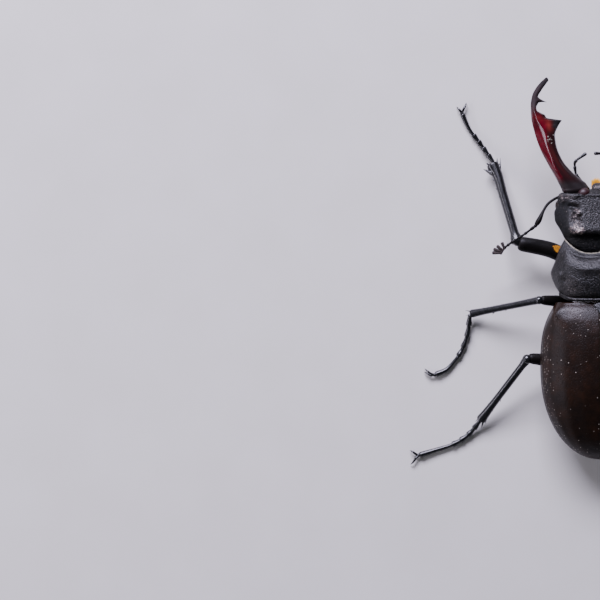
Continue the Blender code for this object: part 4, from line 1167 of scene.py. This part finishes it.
def tibiaMesh(sizes, joints, outerWay):
    slim, waist, broad = sizes["tibia"]
    knee = sizes["femur"][2]
    width = curve((0, 0.85 * knee), (0.05, 0.8 * knee), (0.12, slim), (0.5, waist),
                  (0.82, 0.35 * waist + 0.65 * broad), (0.94, broad), (1, 0.8 * broad))
    height = curve((0, 0.75 * knee), (0.12, slim), (0.6, waist), (1, 0.95 * waist))
    start, end = joints["knee"], joints["ankle"]
    shin = (end - start).normalized()
    across = shin.cross(Vector((0, 0, 1))).normalized()
    outward = across if across.dot(outerWay) > 0 else -across
    line = [start - shin * 0.2, *(start.lerp(end, share) for share in (0.3, 0.6, 0.85)),
            end + outward * sizes["lean"]]
    parts = [sweep(smoothLine(line), width, height, 32, 90, 0.025),
             ball(start + shin * 0.25, [knee * sizes["knob"]] * 3, 32, 24)]
    specs = []
    for before, way, long, out, thick in sizes["thorns"]:
        share = 1 - before / (end - start).length
        sunk = width(share) * 0.5  # the root is inside the shin
        root = end - shin * before + outward * way * sunk
        specs.append((root, outward * way * out + shin, shin * 0.18, long + sunk, thick, (0.5, share)))
    return joined([*parts, spikes(specs, 12, 8, 0.9)])


def footPath(joints):
    toes = joints["toes"]
    onward = Vector((*(toes[-1] - toes[-2]).xy, 0)).normalized()
    return smoothLine([joints["ankle"], *toes[:-1], toes[-1] + onward * 0.35])


def tarsusMesh(path, stout):
    starts = foot["joints"]
    parts = []
    for k in range(5):
        bead, rows, cap = (foot["bead"], 18, 0.07) if k < 4 else (foot["lastBead"], 40, 0.03)
        thick = curve(*((share, radius * stout) for share, radius in bead))
        joint = stretch(path, starts[k], min(starts[k + 1] + foot["overlap"], 1))
        parts.append(sweep(joint, thick, thick, 20, rows, cap))
    for bm in parts:
        for vert in bm.verts:
            vert.co.z = max(vert.co.z, 0.0)
    return joined(parts)


def clawMesh(path, sizes, side):
    way = Vector((*(path(1) - path(0.95)).xy, 0)).normalized()
    root = path(1) + way * foot["clawStart"]
    root.z = foot["clawZ"]
    curl = Vector((side * sizes["curl"][0], sizes["curl"][1], 0))
    up = Vector((0, 0, 1))
    thick = curve(*foot["clawRadius"])
    parts = [ball(root - way * 0.2, foot["clawRoot"], 20, 14)]
    for turn, longer in sizes["claws"]:
        arm = Matrix.Rotation(side * math.radians(turn), 3, "Z") @ way * foot["clawLength"] * longer
        hook = smoothLine([root - way * 0.15, root + arm * 0.35 + up * 0.16,
                           root + arm * 0.75 + way * 0.12 + curl * 0.5 + up * 0.1,
                           root + arm * 0.98 + way * 0.3 + curl - up * 0.38])
        parts.append(sweep(hook, thick, thick, 16, 30, 0.02))
    spot = (0.5, 0.5)
    specs = [(root, way - up * 0.1, up * -0.1, foot["spurLength"], foot["spurRadius"], spot)]
    for spread in (foot["spread"], -foot["spread"]):  # the two bristles beside the spur
        specs.append((root, way + way.orthogonal() * spread, up * 0.1, foot["bristleLength"],
                      foot["bristleRadius"], spot))
    return joined([*parts, spikes(specs, 8, 6)])


def legHairs(sizes, joints, path):
    specs = []
    shin = (joints["ankle"] - joints["knee"]).normalized()
    across = shin.cross(Vector((0, 0, 1))).normalized()
    thick = curve((0, sizes["tibia"][0]), (1, sizes["tibia"][2]))
    for k in range(legHair["shin"]):
        share = random.uniform(0.2, 0.97)
        turn = random.uniform(0, math.tau)
        out = across * math.cos(turn) + Vector((0, 0, 1)) * math.sin(turn)
        root = joints["knee"].lerp(joints["ankle"], share) + out * thick(share) * 0.85
        specs.append((root, shin + out * 0.45, -out * 0.2, random.uniform(0.2, 0.36), legHair["shinRadius"],
                      (turn / math.tau, share)))
    for k in range(legHair["foot"]):
        share = random.uniform(0.02, 0.98)
        line = (path(min(share + 0.02, 1)) - path(max(share - 0.02, 0))).normalized()
        across = line.cross(Vector((0, 0, 1))).normalized()
        turn = random.uniform(-0.35, math.pi + 0.35)
        out = across * math.cos(turn) - Vector((0, 0, 0.6)) * math.sin(turn)
        specs.append((path(share) + out * 0.3, line + out * 0.7, -out * 0.2, random.uniform(0.2, 0.38),
                      legHair["footRadius"], (turn / math.tau, share)))
    clear = []  # the hairs whose points stay above the floor
    for spec in specs:
        root, way, bend, long = spec[:4]
        root.z = max(root.z, legHair["lowest"])
        if root.z + (way.normalized().z + bend.z) * long > 0:
            clear.append(spec)
    return clear


for which, sizes in legs.items():
    for word, side in sides.items():
        end = f"{which}_{word}"
        joints = legJoints(which, side)
        path = footPath(joints)
        thigh = sweep(thighLine(joints), thighRadius(sizes), thighRadius(sizes, thighFlat), 36, 70, 0.04)
        outerWay = Vector((side, 0, 0)) if which == "front" else Vector((0, 1, 0))
        for name, bm, finish, node in (
            ("coxaBall", coxaMesh(sizes, joints), punctate, "coxa"),
            ("thigh", thigh, punctate, "femur"),
            ("shin", tibiaMesh(sizes, joints, outerWay), gloss, "tibia"),
            ("foot", tarsusMesh(path, sizes["stout"]), gloss, "tarsus"),
            ("hooks", clawMesh(path, sizes, side), gloss, "claws"),
        ):
            addPiece(f"{name}_{end}", bm, finish, [f"{node}_{end}"])
        addPiece("legHairs_" + end, spikes(legHairs(sizes, joints, path)), brownBristle, ())
print("legs made")


# ---- fringes and patches of hair ----

fringe = {
    "front": 1500, "frontRow": 0.014, "frontLength": 0.26,
    "rear": 360, "rearRow": 0.975, "rearLength": 0.5, "rearSpread": 0.22, "rearReach": 0.6,
    "radius": 0.017,
}
patch = {  # on the thigh: its place and half its length as shares, its turn round the thigh in degrees
    "hairs": 800, "middle": 0.395, "half": 0.065, "turn": 62, "halfTurn": 29, "radius": 0.03, "sunk": 0.97,
}
underHairs = {
    "thorax": 2600, "abdomen": 1200, "radius": 0.02,
    "around": (0.29, 0.71), "rows": (0.04, 0.96),  # the part of the skin that they stand on
}


def facing(way, other):  # the way or its opposite, whichever is nearer the other way
    return way if way.dot(other) > 0 else -way


def slant(reach):  # a random lean to one side
    return Vector((random.uniform(-reach, reach), 0, 0))


def pronotumSkin(share, v):
    at, out, back = skinAt(pronotumPlace, (share + 1) / 4, v)
    return at, facing(out, Vector((0, 0, 1))), back


def frontFringe():
    specs = []
    for k in range(fringe["front"]):
        share = random.uniform(-0.97, 0.97)
        at, out, back = pronotumSkin(share, fringe["frontRow"])
        way = out * random.uniform(-0.25, 0.15) - back + slant(0.25)
        specs.append((at - out * 0.01, way, -out * 0.25, fringe["frontLength"] * random.uniform(0.6, 1.15),
                      fringe["radius"], ((share + 1) / 2, 0.03)))
    return specs


def rearFringe():
    specs = []
    for k in range(fringe["rear"]):
        share = random.gauss(0, fringe["rearSpread"])
        if abs(share) > fringe["rearReach"]:
            continue
        at, out, back = pronotumSkin(share, fringe["rearRow"])
        way = out * random.uniform(-0.2, 0.2) + back + slant(0.3)
        specs.append((at - out * 0.25, way, -out * 0.1, fringe["rearLength"] * random.uniform(0.6, 1.15),
                      fringe["radius"], ((share + 1) / 2, 0.97)))
    return specs


addPiece("fringe_front", spikes(frontFringe()), cream, ())
addPiece("fringe_rear", spikes(rearFringe()), cream, ())


def thighPatch(side):  # the amber patch on each front thigh
    thigh, wide = thighLine(legJoints("front", side)), thighRadius(legs["front"])
    specs = []
    for k in range(patch["hairs"]):
        a, b = random.uniform(-1, 1), random.uniform(-1, 1)
        if abs(b) > min(1.0, 0.7 * (1 - a)):  # pointed towards the knee
            continue
        v = patch["middle"] + patch["half"] * a
        line = (thigh(v + 0.02) - thigh(v - 0.02)).normalized()
        across = facing(line.cross(Vector((0, 0, 1))).normalized(), Vector((0, -1, 0)))
        up = facing(across.cross(line), Vector((0, 0, 1)))
        turn = math.radians(patch["turn"] + patch["halfTurn"] * b)
        out = across * math.cos(turn) + up * math.sin(turn)
        skin = across * math.cos(turn) + up * math.sin(turn) * thighFlat
        specs.append((thigh(v) + skin * wide(v) * patch["sunk"], line * 0.9 + out * 0.35, -out * 0.2,
                      random.uniform(0.35, 0.6), patch["radius"], (turn / math.tau, v)))
    return specs


for word, side in sides.items():
    addPiece("thighPatch_" + word, spikes(thighPatch(side)), deepAmber, ())


def bellyHairs(name, relief):
    place = trunkPlace(name, relief)
    specs = []
    for k in range(underHairs[name]):
        u, v = random.uniform(*underHairs["around"]), random.uniform(*underHairs["rows"])
        at, out, back = skinAt(place, u, v)
        out = facing(out, Vector((0, 0, -1)))
        specs.append((at, back + out * 0.3 + slant(0.2), -out * 0.15, random.uniform(0.3, 0.55),
                      underHairs["radius"], (u, v)))
    return specs


addPiece("breast_hairs", spikes(bellyHairs("thorax", thoraxRelief), 3, 3), tawny, ())
addPiece("belly_hairs", spikes(bellyHairs("abdomen", abdomenRelief), 3, 3), tawny, ())
print("fringes made")


# ---- stage, lights and camera ----

stage = {
    "floorSize": 1.6, "floorZ": -0.0001,  # in metres, a hair's breadth under the feet
    "camera": (51.2, -0.4, 523.0), "lens": 121.5, "sensor": 24.0,  # place and lens in millimetres
    "world": "#b4b8c0", "worldStrength": 0.19,
    # area lights: place in metres from the middle of the beetle, width and depth, watts and colour
    "lights": {
        "head window": ((0.15, -0.43, 0.35), 0.36, 0.22, 8.3, "#e8e4ff"),
        "left strip": ((0.45, 0.02, 0.235), 0.5, 0.055, 1.15, "#f2ecff"),
    },
}


def addObject(name, data):
    added = bpy.data.objects.new(name, data)
    bpy.context.scene.collection.objects.link(added)
    return added


floorMesh = bmesh.new()
bmesh.ops.create_grid(floorMesh, x_segments=1, y_segments=1, size=stage["floorSize"])
floorData = bpy.data.meshes.new("floor")
floorMesh.to_mesh(floorData)
floorMesh.free()
floorData.materials.append(floorPaper())
floor = addObject("floor", floorData)
floor.location.z = stage["floorZ"]

for name, (spot, wide, deep, power, shade) in stage["lights"].items():
    lamp = bpy.data.lights.new(name, "AREA")
    lamp.shape = "RECTANGLE"
    lamp.size, lamp.size_y = wide, deep
    lamp.energy = power
    lamp.color = linear(shade)[:3]
    lampObject = addObject(name, lamp)
    lampObject.location = spot
    lampObject.rotation_euler = (-Vector(spot)).to_track_quat("-Z", "Y").to_euler()

world = bpy.data.worlds.new("soft room")
world.use_nodes = True
background = world.node_tree.nodes["Background"]
plug(world.node_tree, background, {"Color": stage["world"], "Strength": stage["worldStrength"]})
bpy.context.scene.world = world

lensData = bpy.data.cameras.new("camera")
lensData.lens = stage["lens"]
lensData.sensor_width = stage["sensor"]
camera = addObject("camera", lensData)
x, y, z = stage["camera"]
camera.location = (x * mm, (y + shiftY) * mm, z * mm)
camera.rotation_euler = (0, 0, math.pi)  # straight down, with the head up in the picture
bpy.context.scene.camera = camera
print("stage made")
